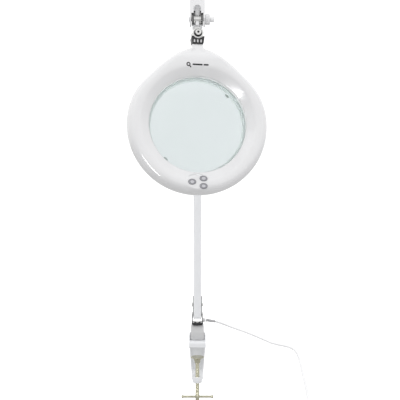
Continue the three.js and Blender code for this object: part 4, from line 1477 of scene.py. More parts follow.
@dataclass
class HeadShells:
    """The head's two shells. Heights are from the parting plane, forwards in front and backwards behind."""

    outline: HeadOutline = field(default_factory=HeadOutline)
    parting: float = 0.2
    front_slope: tuple[Pair, ...] = (
        (61.5, 7.7), (61.8, 8.4), (63.2, 9.5), (68.3, 13.4), (72.5, 16.2), (76.8, 17.05)
    )
    front_rim: tuple[Pair, ...] = ((0, 0.2), (0.3, 4.5), (1.6, 10.0), (4.2, 14.4), (7.4, 16.6), (11.0, 17.05))
    front_inside: tuple[Pair, ...] = (
        (0.92, 0.2), (0.91, 6.0), (0.8, 12.4), (0.62, 14.9),
        (0.42, 13.8), (0.12, 7.4), (0.12, 2.0), (0.0, 2.0),
    )
    rear_slope: tuple[Pair, ...] = ((61.5, 12.0), (62.2, 12.7), (63.8, 13.3), (66.8, 13.6))
    rear_rim: tuple[Pair, ...] = ((0, 0.2), (0.3, 5.0), (1.1, 8.4), (2.2, 10.8), (4.5, 13.0), (8.0, 13.6))
    rear_inside: tuple[Pair, ...] = ((0.08, 0.2), (0.06, 6.0))
    rear_bore_share: float = 0.06
    neck_depth: float = 7.4
    neck_narrows: Pair = (82.0, 103.0)
    hollow_ends: Pair = (74.0, 86.0)
    pad_centre: Pair = (-1.6, -75.2)
    pad_half: Pair = (15.5, 10.4)
    pad_height: float = 17.7
    wall_shares: tuple[float, ...] = (
        0, 0.015, *(k / 20 for k in range(1, 15)), 0.74, 0.78, 0.815,
        0.85, 0.88, 0.905, 0.925, 0.943, 0.957, 0.968, 0.978, 0.986, 0.992, 0.997, 1,
    )
    trough: Triple = (66.0, 83.2, 5.0)

    def build(self) -> None:
        """Makes both shells."""
        self.lines = self.outline.lines()
        self.front()
        self.rear()

    def edge_distance(self, p: Vector) -> float:
        """Returns how far a point is inside the outline."""
        best = 1e9
        for (_, a), (_, b) in zip(self.lines, self.lines[1:] + self.lines[:1]):
            along = b - a
            share = min(1.0, max(0.0, (p - a).dot(along) / along.length_squared))
            best = min(best, (a + along * share - p).length_squared)
        return math.sqrt(best)

    def height(self, p: Vector, distance: float, slope: Sequence[Pair], rim: Sequence[Pair]) -> float:
        """Returns a shell's height over a point.

        Args:
            p: the point, from the lens centre.
            distance: how far it is inside the outline.
            slope: heights from the bezel outwards, by radius.
            rim: heights from the outline inwards, by distance.

        Returns:
            The height above the parting plane.
        """
        crest = rim[-1][1]
        below = crest - curve_height(slope, p.length)
        under = crest - curve_height(rim, distance)
        full = crest - math.hypot(below, under)
        narrow = 1 - (1 - self.neck_depth / crest) * smoothstep(p.y, *self.neck_narrows)
        return max(self.parting, full * narrow)

    def near_edge(self, p: Vector, outline_point: Vector) -> float:
        """Returns the distance to the outline, measured only where it matters."""
        straight = (outline_point - p).length
        return straight if p.y < 40 else min(straight, self.edge_distance(p))

    def front_height(self, p: Vector, distance: float) -> float:
        """Returns the front shell's height, with the soft pad under the buttons."""
        base = self.height(p, distance, self.slope, self.rim)
        across = (p.x - self.pad_centre[0]) / self.pad_half[0]
        up = (p.y - self.pad_centre[1]) / self.pad_half[1]
        inside = 1 - smoothstep(math.hypot(across, up), 0.78, 1.12)
        return base + (self.pad_height - base) * inside

    def front(self) -> None:
        """Makes the front shell, with its pad, its button holes and the room for the fork's tongue."""
        self.slope = smooth_table(self.front_slope)
        self.rim = smooth_table(self.front_rim)
        rings = []
        for bezel, edge in self.lines:
            ring = []
            for share in self.wall_shares:
                p = bezel.lerp(edge, share)
                ring.append(Vector((p.x, -self.front_height(p, self.near_edge(p, edge)), p.y)))
            for share, height in self.front_inside:
                p = bezel.lerp(edge, share)
                kept = 1 - smoothstep(p.y, *self.hollow_ends)
                ring.append(Vector((p.x, -self.parting - (height - self.parting) * kept, p.y)))
            rings.append(ring)
        draft = Draft().skin(rings, cyclic=True).cut(tongue_room())
        for button in BUTTONS:
            hole = oval(button.x, button.z, button.half_width + 0.35, button.half_height + 0.35)
            draft.cut(prism(hole, Axis.Y, -30, -9))
        publish("head_front", draft, Dress(GLOSS_WHITE, "head", RING, shade_angle=48), ("head_front_shell",))

    def rear(self) -> None:
        """Makes the rear shell, with the round trough for the light ring and the screw's hole."""
        slope, rim = smooth_table(self.rear_slope), smooth_table(self.rear_rim)
        rings = []
        for bezel, edge in self.lines:
            ring = []
            for share in self.wall_shares:
                p = bezel.lerp(edge, max(share, self.rear_bore_share))
                ring.append(Vector((p.x, self.height(p, self.near_edge(p, edge), slope, rim), p.y)))
            for share, height in self.rear_inside[:1]:
                p = bezel.lerp(edge, share)
                ring.append(Vector((p.x, height, p.y)))
            rings.append(ring)
        inner, outer, bottom = self.trough
        trough = lathe(
            [(inner, bottom), (outer, bottom), (outer, 30), (inner, 30)], Axis.Y, segments=160, ring=True
        )
        screw = (low("neck_screw") + high("neck_screw")) / 2
        z = (screw - LENS_CENTRE).dot(RING.up)
        draft = Draft().skin(rings, cyclic=True).cut(
            trough, tongue_room(), rod(1.9, (0, 1, z), Axis.Y, 30), rod(3.6, (0, 10.7, z), Axis.Y, 30)
        )
        publish("head_rear", draft, Dress(GLOSS_WHITE, "head", RING, shade_angle=48), ("head_rear_shell",))


def tongue_room() -> Draft:
    """Returns the room in the neck for the fork's tongue."""
    return box((-4.3, -2.6, 82), (4.3, 2.6, 130))


@dataclass(frozen=True)
class Button:
    """A push button: its place on the pad, its size and the place of its lighter top."""

    name: str
    x: float
    z: float
    half_width: float = 4.6
    half_height: float = 3.3
    top: float = 18.6
    bottom: float = 13.15
    top_share: float = 0.55

    def build(self) -> None:
        """Makes the button's rim and its lighter, dished top."""
        steps = (
            (0.74, self.bottom), (0.74, 14.4), (1.0, 14.5), (1.0, 18.0), (0.965, 18.4), (0.89, self.top),
            (0.74, self.top), (0.64, 18.4), (0.6, 17.9),
        )
        rings = []
        for share, height in steps:
            points = oval(self.x, self.z, self.half_width * share, self.half_height * share)
            rings.append([Vector((p.x, -height, p.y)) for p in points])
        body = Dress(RUBBER_GREY, self.name, RING, shade_angle=50)
        publish(f"{self.name}_rim", Draft().skin(rings), body, (self.name,))
        dish = ((1.0, 17.95), (1.0, 18.3), (0.93, 18.45), (0.6, 18.38), (0.25, 18.33))
        tops = []
        for share, height in dish:
            w, h = self.half_width * self.top_share * share, self.half_height * self.top_share * share
            tops.append([Vector((p.x, -height, p.y)) for p in oval(self.x, self.z, w, h)])
        publish(f"{self.name}_top", Draft().skin(tops), Dress(BUTTON_TOP, self.name, RING, shade_angle=50))


BUTTONS = (
    Button("power_button", -8.8, -75.0),
    Button("brighter_button", 5.2, -70.6),
    Button("dimmer_button", 5.2, -80.0),
)


@dataclass
class Head:
    """The head: shells, glass, light ring, buttons and the plain mark on the front."""

    edge_thickness: float = 2.4
    curve_radius: float = 346.0
    clip_angles: Pair = (43.0, 223.0)
    clip_tips: Pair = (55.6, 52.8)
    leds: int = 60
    led_ring: float = 74.6
    mark: Pair = (-13.6, 73.9)

    def build(self) -> None:
        """Makes every piece of the head."""
        shells = HeadShells()
        shells.build()
        for button in BUTTONS:
            button.build()
        self.lens()
        self.retainer()
        self.clips()
        self.light_ring()
        self.printed_mark(shells)
        self.inner_board()
        self.neck_screw()

    def lens(self) -> None:
        """Makes the glass, thickest in the middle, with a ground edge."""
        r_edge = (high("lens") - LENS_CENTRE).z / math.hypot(HEAD.up.z, HEAD.right.z) - 0.15
        half = self.edge_thickness / 2
        depth = math.sqrt(self.curve_radius**2 - r_edge**2)
        radii = [r_edge * i / 32 for i in range(33)]
        face = [(r, half + math.sqrt(self.curve_radius**2 - r * r) - depth) for r in radii]
        profile = [(r, -h) for r, h in face] + [(r_edge + 0.15, -half + 0.2), (r_edge + 0.15, half - 0.2)]
        draft = lathe([*profile, *face[::-1]], Axis.Y, segments=160)
        publish("lens_glass", draft, Dress(LENS_GLASS, "head", RING, shade_angle=30), ("lens",))

    def retainer(self) -> None:
        """Makes the ring behind the glass, with a lip and a stepped inside."""
        profile = rounded(
            [
                (59.8, 3, 0.5), (62.3, 3, 0.5), (62.3, 10, 0.4), (57.2, 10, 0.4), (57.2, 8.8, 0.4),
                (59.4, 8.4, 0.5)
            ], 4
        )
        draft = lathe(profile, Axis.Y, segments=160, ring=True)
        publish("lens_ring", draft, Dress(GLOSS_WHITE, "head", RING, shade_angle=40), ("lens_retainer",))

    def clips(self) -> None:
        """Makes the two clips that hold the retainer, each with a dimple."""
        for name, angle, tip in zip(("lens_clip_upper", "lens_clip_lower"), self.clip_angles, self.clip_tips):
            outline = rounded([(-3, tip, 1.6), (3, tip, 1.6), (3, 65.5, 0.8), (-3, 65.5, 0.8)])
            draft = prism(outline, Axis.Y, 14, 15.1).add(
                box((-2.9, 10.6, 57.7), (2.9, 14.3, 60.9)),
                lathe([(0, 0), (1.3, 0), (1.1, 0.5), (0.6, 0.8), (0, 0.85)], Axis.Y, (0, 14.9, 59.2), 24),
            )
            draft.cut(rod(0.9, (0, 13.5, 63.3), Axis.Y, 3, 20))
            draft.turned(Matrix.Rotation(math.radians(angle), 4, "Y"))
            publish(f"{name}_pressed", draft, Dress(CLIP_GREY, "head", RING, edge=0.18), (name,))

    def light_ring(self) -> None:
        """Makes the ribbed diffuser, the board under it and its light-emitting diodes."""
        inner, outer = 66.35, 82.85
        ribs = 22
        top = [(outer - 0.4, 13.2)]
        for i in range(ribs):
            r = outer - 0.8 - (outer - inner - 1.6) * i / (ribs - 1)
            top.append((r, 13.55 if i % 2 else 13.15))
        profile = [(inner, 11), (outer, 11), (outer, 13.0), *top, (inner, 13.0)]
        draft = lathe(profile, Axis.Y, segments=160, ring=True)
        publish("light_diffuser", draft, Dress(FROSTED, "head", RING, shade_angle=25), ("diffuser_ring",))
        board = lathe(
            [(67.1, 5.35), (82.1, 5.35), (82.1, 6.85), (67.1, 6.85)], Axis.Y, segments=120, ring=True
        )
        publish("light_board", board, Dress(BOARD, "head", RING, edge=0.1), ("led_board",))
        chip = prism(
            rounded([(-1.7, -1.4, 0.3), (1.7, -1.4, 0.3), (1.7, 1.4, 0.3), (-1.7, 1.4, 0.3)], 2), Axis.Y, 0,
            0.8
        )
        chip.add(lathe([(0, 0.5), (1.05, 0.5), (0.9, 1.1), (0.5, 1.35), (0, 1.45)], Axis.Y, segments=14))
        spots = []
        for i in range(self.leds):
            a = math.tau * (i + 0.5) / self.leds
            spots.append(Spot((self.led_ring * math.sin(a), 6.9, self.led_ring * math.cos(a)), (0.0, a, 0.0)))
        publish("light_diodes", copies(chip, spots, LED_BODY), Dress(LED_BODY, "head", RING, shade_angle=30))

    def printed_mark(self, shells: HeadShells) -> None:
        """Prints a plain magnifier sign with a bar beside it on the front shell, above the glass."""
        x, z = self.mark
        sign = lathe([(1.2, 0), (2.6, 0), (2.6, 1), (1.2, 1)], Axis.Y, (x, 0, z), 40, ring=True)
        handle = prism(
            rounded([(-0.7, 0, 0.3), (0.7, 0, 0.3), (0.7, 2.6, 0.5), (-0.7, 2.6, 0.5)], 3), Axis.Y, 0, 1
        )
        handle.turned(Matrix.Translation((x + 1.7, 0, z - 1.7)) @ Matrix.Rotation(math.radians(135), 4, "Y"))
        draft = sign.beside(handle)
        for start, end in ((5.2, 17.8), (19.2, 25.4)):
            outline = rounded(
                [
                    (x + start, z - 0.95, 0.7), (x + end, z - 0.95, 0.7), (x + end, z + 0.95, 0.7),
                    (x + start, z + 0.95, 0.7)
                ]
            )
            draft.beside(prism(outline, Axis.Y, 0, 1))
        bmesh.ops.subdivide_edges(draft.bm, edges=[e for e in draft.bm.edges if e.calc_length() > 3], cuts=6)
        for vert in draft.bm.verts:
            p = Vector((vert.co.x, vert.co.z))
            surface = shells.front_height(p, shells.edge_distance(p))
            vert.co.y = -surface - 0.04 + 0.1 * vert.co.y
        publish("front_mark", draft.mended(), Dress(PRINT_AND_SHADE_BLACK, "head", RING, shade_angle=30))

    def inner_board(self) -> None:
        """Makes the board under the buttons, with its three switches."""
        draft = box((-13.9, -10.45, -81.5), (10.9, -9.15, -69.7))
        for button in BUTTONS:
            draft.beside(prism(oval(button.x, button.z, 2.6, 2.2, 24), Axis.Y, -12.2, -10.45))
        publish("switch_board", draft, Dress(BOARD, "head", RING, edge=0.1), ("button_board",))

    def neck_screw(self) -> None:
        """Makes the countersunk screw that holds the shells on the fork's tongue, with a crossed recess."""
        z = ((low("neck_screw") + high("neck_screw")) / 2 - LENS_CENTRE).dot(RING.up)
        dome = [
            (3.15 * math.cos(a), 11.2 + 1.5 * math.sin(a))
            for a in (math.pi / 2 * i / 7 for i in range(8))
        ]
        draft = lathe([(0, 3), (1.6, 3), (1.6, 11), (3.15, 11), *dome], Axis.Y, (0, 0, z), 40)
        for angle in (45, 135):
            slot = box(
                (-1.9, 11.9, -0.35), (1.9, 14, 0.35)
            ).turned(Matrix.Rotation(math.radians(angle), 4, "Y"))
            draft.cut(slot.turned(Matrix.Translation((0, 0, z))))
        publish("neck_screw_turned", draft, Dress(ZINC, "head", RING, shade_angle=40), ("neck_screw",))


@dataclass
class HeadJoint:
    """The joint over the head: knuckle, eye, fork with its screw, and the collar round the neck, coloured black
    as painted shade.
    """

    roll_drop: float = 20.0
    cheek: float = 5.8
    cheek_radius: float = 7.5
    collar_ribs: Triple = (-4.7, -0.5, 3.8)
    # The thin black ring round the roll screw's head is a painted shadow: its outer radius, and how far it is
    # set down to show as a crescent under the head.
    shadow_ring_radius: float = 5.0
    shadow_ring_drop: float = 0.35

    def build(self) -> None:
        """Makes every piece of the joint."""
        self.knuckle()
        self.eye()
        self.fork()
        self.roll_screw()
        self.collar()

    def knuckle(self) -> None:
        """Makes the barrel on the tilt bolt, grooved near its ends, and the white sleeve under it."""
        half = 4.85
        profile = [
            (2.55, -half), (4.6, -half), (4.95, -half + 0.35), (4.95, -3.5), (4.55, -3.3), (4.55, -3.0)
        ]
        profile += [(4.95, -2.8), (4.95, 2.8), (4.55, 3.0), (4.55, 3.3), (4.95, 3.5), (4.95, half - 0.35)]
        profile += [(4.6, half), (2.55, half)]
        draft = lathe(profile, Axis.X, segments=72, ring=True)
        draft.add(lathe([(1.95, -10), (3.3, -10), (3.3, -3.2), (1.95, -3.2)], Axis.Z, segments=40, ring=True))
        draft.cut(rod(2.55, (-10, 0, 0), Axis.X, 20))
        publish("knuckle_barrel", draft, Dress(CHROME, "knuckle", KNUCKLE, shade_angle=35), ("tilt_knuckle",))
        dome = [
            (2.85 * math.sin(a), -6 + 2.7 * math.cos(a))
            for a in (math.pi / 2 * i / 10 for i in range(11))
        ]
        sleeve = lathe([*dome, (2.85, -10.1), (0, -10.1)], Axis.Z, (0, -2.7, 0), 48)
        sleeve.cut(rod(5.05, (-10, 0, 0), Axis.X, 20), rod(2.0, (0, 0, -12), Axis.Z, 12))
        publish("knuckle_sleeve", sleeve, Dress(GLOSS_WHITE, "knuckle", KNUCKLE, shade_angle=35))

    def eye(self) -> None:
        """Makes the eye between the fork's cheeks, and its white collar."""
        z = -self.roll_drop
        profile = [(2.35, -3.65), (6.4, -3.65), (6.85, -3.2), (6.85, 3.2), (6.4, 3.65), (2.35, 3.65)]
        draft = lathe(profile, Axis.Y, (0, 0, z), 72, ring=True)
        draft.add(
            rod(3.35, (0, 0, z + 2.5), Axis.Z, 7.1), rod(1.6, (0, 0, z + 4), Axis.Z, 8.6)
        )
        draft.cut(rod(2.35, (0, -10, z), Axis.Y, 20))
        publish("swivel_eye_turned", draft, Dress(CHROME, "swivel_eye", HEAD, shade_angle=35), ("roll_eye",))
        collar = lathe(
            [(3.35, -13.4), (3.75, -13.4), (3.75, -10.6), (3.4, -10.35), (3.35, -10.35)], ring=True
        )
        publish("swivel_eye_collar", collar, Dress(GLOSS_WHITE, "swivel_eye", HEAD, shade_angle=35))

    def fork(self) -> None:
        """Makes the fork, with stepped round faces on its cheeks and a tongue that goes into the neck."""
        z = -self.roll_drop
        outline = band([(0, z, self.cheek_radius), (0, z - 6.6, 5.5)], 72)
        draft = prism(outline, Axis.Y, -self.cheek + 0.5, self.cheek - 0.5)
        for side in (-1, 1):
            face = [(2.35, 4.4), (7.2, 4.4), (7.2, 5.4), (6.5, 5.75), (5.6, 5.75), (5.3, 5.3), (4.6, 5.3)]
            face += [(4.4, 5.6), (2.35, 5.6)]
            draft.add(lathe([(r, side * y) for r, y in face], Axis.Y, (0, 0, z), 72, ring=True))
        draft.cut(box((-10, -4, z - 7.4), (10, 4, 0)))
        draft.add(box((-4, -2.3, -54), (4, 2.3, z - 7.5)))
        draft.cut(rod(2.35, (0, -10, z), Axis.Y, 20))
        publish("neck_fork_plated", draft, Dress(CHROME, "head", HEAD, edge=0.22), ("neck_fork",))
        # A thin black ring round the screw head, set a little lower, paints the crescent of shadow under the
        # head.
        inner, outer, near, far = 2.4, self.shadow_ring_radius, 5.75, 5.9
        shadow_profile = [(inner, near), (outer, near), (outer, far), (inner, far)]
        shadow_ring = lathe([(r, -y) for r, y in shadow_profile], Axis.Y, (0, 0, z - self.shadow_ring_drop), 56, ring=True)
        publish("roll_screw_seal", shadow_ring, Dress(PRINT_AND_SHADE_BLACK, "head", HEAD, shade_angle=30))

    def roll_screw(self) -> None:
        """Makes the socket-head screw that the head rolls on, and its domed nut."""
        z = -self.roll_drop
        front = -self.cheek - 0.3
        head = [
            (0, -3), (2.9, -3), (3.5, -2.75), (3.85, -2.2), (3.9, -0.2), (3.7, 0), (2.0, 0), (2.0, 14.6),
            (0, 14.6)
        ]
        draft = lathe(head, Axis.Y, (0, front, z), 56)
        socket = [
            Vector((1.75 * math.cos(a), z + 1.75 * math.sin(a)))
            for a in (math.tau * i / 6 for i in range(6))
        ]
        draft.cut(prism(socket, Axis.Y, front - 4, front - 1.3))
        # A black disc at the bottom of the hex socket paints the shade inside it.
        recess = lathe(
            [(0, front - 1.35), (1.6, front - 1.35), (1.6, front - 1.2), (0, front - 1.2)], Axis.Y, (0, 0, z),
            6
        )
        publish("roll_screw_socket_floor", recess, Dress(PRINT_AND_SHADE_BLACK, "head", HEAD, shade_angle=30))
        publish("roll_screw_socket_head", draft, Dress(CHROME, "head", HEAD, shade_angle=30), ("roll_screw",))
        nut = copied_node("roll_nut")
        publish("roll_nut_plated", nut, Dress(CHROME, "head", edge=0.3), ("roll_nut",))

    def collar(self) -> None:
        """Makes the collar round the neck's top, coloured black as painted shade for the dark gap and grooves
        there, with three light ribs at the front and the back.
        """
        top, bottom = -self.roll_drop - 4.6, (LENS_CENTRE - HEAD.origin).dot(HEAD.up) + 106.8
        front = rounded(
            [(-8.3, top, 0.8), (-7.3, bottom, 0.4), (7.3, bottom, 0.4), (8.3, top, 0.8), (6.4, top + 0.01, 0)]
        )
        draft = prism(front, Axis.Y, -7.1, 7.1)
        side = rounded([(-6.4, bottom, 2), (6.4, bottom, 2), (7.1, top, 1), (-7.1, top, 1)])
        draft.common(prism(side, Axis.X, -9, 9))
        draft.cut(
            prism(circle(0, -self.roll_drop, 7.9, 64), Axis.Y, -7.3, 6.2),
            prism(band([(0, -self.roll_drop, 7.9), (0, -self.roll_drop - 6.6, 5.9)]), Axis.Y, -6.1, 6.2),
            box((-4.3, -2.6, -60), (4.3, 2.6, 0)),
        )
        # The collar's black colour is painted shade.
        publish("neck_collar", draft, Dress(BLACK_MOULDING_AND_SHADE, "head", HEAD, edge=0.25), ("neck_cap",))
        rib = prism(
            rounded([(-1.0, 0, 0.4), (1.0, 0, 0.4), (0.8, 3.6, 0.8), (-0.8, 3.6, 0.8)], 4), Axis.Y, -0.35,
            0.35
        )
        spots = [Spot((x, y, bottom + 0.05)) for y in (-6.9, 6.9) for x in self.collar_ribs]
        publish("neck_collar_ribs", copies(rib, spots, SOCKET_GREY), Dress(SOCKET_GREY, "head", HEAD))

# ---------------------------------------------------------------- arm end


def points_of(*circles: tuple[Vector, float]) -> list[Triple]:
    """Returns (y, z, radius) for circles round points of the part's frame."""
    return [(p.y, p.z, r) for p, r in circles]


@dataclass
class ArmEnd:
    """The white housing at the end of the upper arm, with the yoke, bolt and knob that tilt the head."""

    half: float = 9.6
    wall: float = 1.7
    notch_half: float = 4.8
    notch_height: float = 18.0
    knob_flutes: int = 20
    body: str = "arm_end"

    def build(self) -> None:
        """Makes the housing, rivets, yoke, bolt and knob."""
        self.tilt = pivot("head_tilt")
        self.top = pivot("arm_end_level")
        self.bottom = (low("arm_end_rivet_bottom") + high("arm_end_rivet_bottom")) / 2
        self.housing()
        Rivets("arm_end_rivets", self.body, ("arm_end_rivet_top", "arm_end_rivet_bottom")).build()
        self.yoke()
        self.bolt()
        self.knob()

    def housing(self) -> None:
        """Makes the hollow housing, with an arched notch over the joint."""
        t, inside = self.tilt, self.half - self.wall
        outer = points_of((t, 9.5), (self.top, 15.5), (self.bottom, 13.75))
        draft = prism(band(outer, 96), Axis.X, -self.half, self.half)
        room = [(y, z, r - 1.8) for y, z, r in outer]
        behind = [(t.y, t.z - 20), (t.y, t.z), (self.bottom.y + 3.5, self.bottom.z + 30)]
        behind += [(self.bottom.y + 60, self.bottom.z + 30), (self.bottom.y + 60, t.z - 20)]
        high_z = t.z + self.notch_height
        w = self.notch_half
        arch = [
            (-w, t.z), (w, t.z), *((w * math.cos(a), high_z - w + w * math.sin(a)) for a in half_turn(16))
        ]
        draft.cut(
            prism(band(room, 96), Axis.X, -inside, inside),
            prism([Vector(p) for p in behind], Axis.X, -inside, inside),
            box((-inside, t.y - 20, t.z - 20), (inside, t.y, t.z + 6.5)),
            prism([Vector(p) for p in arch], Axis.Y, t.y - 30, t.y),
            rod(2.6, (-20, t.y, t.z), Axis.X, 40),
        )
        for p in (self.top, self.bottom):
            draft.cut(rod(2.8, (-20, p.y, p.z), Axis.X, 40))
        publish(
            "arm_end_cover", draft, Dress(GLOSS_WHITE, self.body, edge=0.5, edge_steps=4),
            ("arm_end_housing",)
        )

    def yoke(self) -> None:
        """Makes the bent steel yoke that holds the knuckle."""
        t = self.tilt
        side = rounded(
            [(t.y - 7.2, t.z - 7.2, 5), (t.y + 7.5, t.z - 7.2, 5), (t.y + 10, t.z + 12.5, 2),
             (t.y + 5, t.z + 12.5, 2), (t.y - 6.4, t.z + 5.8, 4)]
        )
        gap = [(t.y - 20, t.z - 20), (t.y + 7, t.z - 20), (t.y + 8, t.z + 20), (t.y - 20, t.z + 20)]
        draft = prism(side, Axis.X, -7.2, 7.2).cut(
            prism([Vector(p) for p in gap], Axis.X, -5.2, 5.2), rod(2.6, (-20, t.y, t.z), Axis.X, 40)
        )
        # The yoke's dark chrome is painted shade and dark reflection.
        publish("tilt_yoke_bent", draft, Dress(SHADED_CHROME, self.body, edge=0.35), ("tilt_yoke",))
        half, low_z, high_z = 2.9, t.z + 5.4, t.z + 15.6
        outline = rounded([(-half, low_z, 0), (half, low_z, 0), (half, high_z, 2), (-half, high_z, 2)])
        stem = prism(outline, Axis.Y, t.y + 0.4, t.y + 8.5)
        publish("tilt_yoke_stem", stem, Dress(GLOSS_WHITE, self.body, edge=0.4))
        # A black plate behind the notch paints the shade seen through it.
        shade_plate = box((-7.7, t.y + 10.6, t.z + 5), (7.7, t.y + 11.8, t.z + 14.5))
        publish("tilt_yoke_backing", shade_plate, Dress(BLACK_MOULDING_AND_SHADE, self.body, edge=0.2))

    def bolt(self) -> None:
        """Makes the bolt, with a low domed head on the left."""
        dome = [(4.2 * math.sin(a), -1.2 * math.cos(a)) for a in (math.pi / 2 * i / 8 for i in range(9))]
        profile = [*dome, (4.1, -0.05), (3.95, 0), (2.2, 0), (2.2, 26.7), (1.9, 27), (0, 27)]
        draft = lathe(profile, Axis.X, (-self.half - 0.3, self.tilt.y, self.tilt.z), 48)
        publish("tilt_bolt_turned", draft, Dress(WHITE_PAINT, self.body, shade_angle=35), ("tilt_bolt",))

    def knob(self) -> None:
        """Makes the fluted white knob and the pale end of its insert."""
        t = self.tilt
        at = (self.half + 0.3, t.y, t.z)
        profile = [
            (2.5, 0), (5.7, 0), (6.3, 0.2), (6.75, 0.7), (6.85, 1.4), (6.85, 5.2), (6.6, 5.9), (6.0, 6.35)
        ]
        profile += [(5.2, 6.5), (3.6, 6.55), (2.5, 6.55)]
        draft = lathe(profile, Axis.X, at, 120, ring=True)
        flute = lathe([(0, -0.6), (0.45, -0.6), (0.45, 5.4), (0.2, 5.9), (0, 6)], Axis.X, segments=12)
        spots = []
        for i in range(self.knob_flutes):
            a = math.tau * i / self.knob_flutes
            spots.append(Spot((at[0], t.y + 6.95 * math.cos(a), t.z + 6.95 * math.sin(a))))
        draft.cut(copies(flute, spots, GLOSS_WHITE))
        publish("tilt_knob_grip", draft, Dress(GLOSS_WHITE, "tilt_knob", shade_angle=32), ("tilt_knob",))
        stub = [
            (2.5, 6.7), (3.35, 6.7), (3.35, 10.9), (3.1, 11.5), (2.6, 11.9), (0, 11.9), (0, 8.6), (2.5, 8.6)
        ]
        insert = lathe(stub, Axis.X, at, 48)
        publish("tilt_knob_insert", insert, Dress(CORD_PVC, "tilt_knob", shade_angle=35))


def half_turn(steps: int) -> list[float]:
    """Returns the angles from 0 to half a turn."""
    return [math.pi * i / steps for i in range(steps + 1)]


# ---------------------------------------------------------------- arms


@dataclass
class Arm:
    """One arm: the outer channel, the inner link that keeps it level, two springs and the lead inside."""

    name: str
    place: Placement
    link_body: str
    link_pivot: str
    end_pivot: str
    web: float = 9.0
    half: float = 7.6
    sheet: float = 1.2
    beyond: float = 12.0
    pin_hole: float = 2.8
    peg_height: float = 166.0

    def build(self) -> None:
        """Makes every piece of the arm."""
        self.length = (pivot(self.end_pivot) - self.place.origin).length
        offset = pivot(self.link_pivot) - self.place.origin
        back = self.place.up.cross(self.place.right)
        self.second = (offset.dot(back), offset.dot(self.place.up))
        self.channel()
        self.link()
        for side in (-1, 1):
            self.spring(side)
        self.lead()

    def channel(self) -> None:
        """Makes the outer channel of bent sheet with rounded ends, and the peg that the springs pull on."""
        h, w, s = self.half, self.web, self.sheet
        section = rounded(
            [(-h, 11, 0), (-h, -w, 2.6), (h, -w, 2.6), (h, 11, 0), (h - s, 11, 0), (h - s, -w + s, 1.6),
             (-h + s, -w + s, 1.6), (-h + s, 11, 0)], 8
        )
        start, end = -self.beyond, self.length + self.beyond
        side = rounded([(-w, start, 9), (11, start, 9), (11, end, 9), (-w, end, 9)], 10)
        draft = prism(section, Axis.Z, start - 5, end + 5).common(prism(side, Axis.X, -h - 1, h + 1))
        draft.cut(
            rod(self.pin_hole, (-10, 0, 0), Axis.X, 20), rod(self.pin_hole, (-10, 0, self.length), Axis.X, 20)
        )
        dress = Dress(WHITE_PAINT, self.name, self.place, edge=0.22)
        publish(f"{self.name}_channel_bent", draft, dress, (f"{self.name}_channel",))
        dome = [
            (2.3 * math.cos(a), h + 0.02 + 0.25 * math.sin(a))
            for a in (math.pi / 2 * i / 5 for i in range(6))
        ]
        peg = [(0, -h - 0.27), *((r, -x) for r, x in dome[::-1]), (1.4, -h + 0.1), (1.4, h - 0.1), *dome]
        made = lathe(peg, Axis.X, (0, -2.5, self.peg_height), 28)
        publish(f"{self.name}_peg", made, Dress(WHITE_PAINT, self.name, self.place, shade_angle=40))

    def link(self) -> None:
        """Makes the inner link, a narrower channel that is open towards the outer one."""
        y, z = self.second
        front, back, h = y - 10.5, y + 5.5, 6.0
        section = rounded(
            [
                (-h, front, 0), (-h, back, 2.4), (h, back, 2.4), (h, front, 0),
                (h - 1, front, 0), (h - 1, back - 1, 1.5), (-h + 1, back - 1, 1.5), (-h + 1, front, 0),
            ],
            6,
        )
        start, end = z - 7, z + self.length + 7
        side = rounded([(front, start, 5), (back, start, 5), (back, end, 5), (front, end, 5)], 8)
        draft = prism(section, Axis.Z, start - 5, end + 5).common(prism(side, Axis.X, -h - 1, h + 1))
        draft.cut(
            rod(
                self.pin_hole, (-10, y, z), Axis.X, 20
            ), rod(self.pin_hole, (-10, y, z + self.length), Axis.X, 20)
        )
        dress = Dress(WHITE_PAINT, self.link_body, self.place, edge=0.2)
        publish(f"{self.name}_link_bent", draft, dress, (f"{self.name}_link",))

    def spring(self, side: int) -> None:
        """Makes a close-wound spring that hooks round the first pin and the peg."""
        x, y, wire = 3.15 * side, -2.5, 0.5
        coil = helix(112, 2.4, 135, wire, SPRING_STEEL, 6)
        coil.turned(Matrix.Translation((x, y, 15)))
        lower = [
            (x, 3.1 * math.cos(a), 3.1 * math.sin(a))
            for a in (math.radians(20 - 200 * i / 18) for i in range(19))
        ]
        lower += [(x, y - 0.4, 7), (x, y, 12), (x + 1.2, y + 0.2, 14.4), (x + 2.35, y, 15.2)]
        top = self.peg_height
        loop = [
            (x, y - 2.1 * math.cos(a), top + 2.1 * math.sin(a))
            for a in (math.radians(15 * i) for i in range(-4, 16))
        ]
        upper = [(x + 2.35, y, 149.8), (x + 1.2, y - 0.3, 150.8), (x, y - 0.8, 153), (x, y - 1.4, 160), *loop]
        hooks = tube([Vector(p) for p in lower], wire, 8).beside(tube([Vector(p) for p in upper], wire, 8))
        which = "left" if side < 0 else "right"
        dress = Dress(SPRING_STEEL, self.name, self.place, shade_angle=80)
        publish(
            f"{self.name}_spring_{which}_wound", coil.beside(hooks), dress, (f"{self.name}_spring_{which}",)
        )

    def lead(self) -> None:
        """Makes the lead that runs up inside the link, a little wavy."""
        y, z = self.second
        start, reach = z + 8, self.length - 16
        points = []
        for i in range(49):
            share = i / 48
            sway = (0.5 * math.sin(9 * share), 0.3 * math.sin(23 * share))
            points.append(Vector((sway[0], y + 1.6 + sway[1], start + reach * share)))
        dress = Dress(CORD_PVC, self.link_body, self.place, shade_angle=60)
        publish(f"{self.name}_lead_run", tube(points, 2.2, 12), dress, (f"{self.name}_lead",))


@dataclass
class LowerArm:
    """The arm from the base to the elbow."""

    def build(self) -> None:
        """Makes the arm."""
        Arm("lower_arm", LOWER_ARM, "lower_link", "lower_link_tilt", "elbow_level").build()


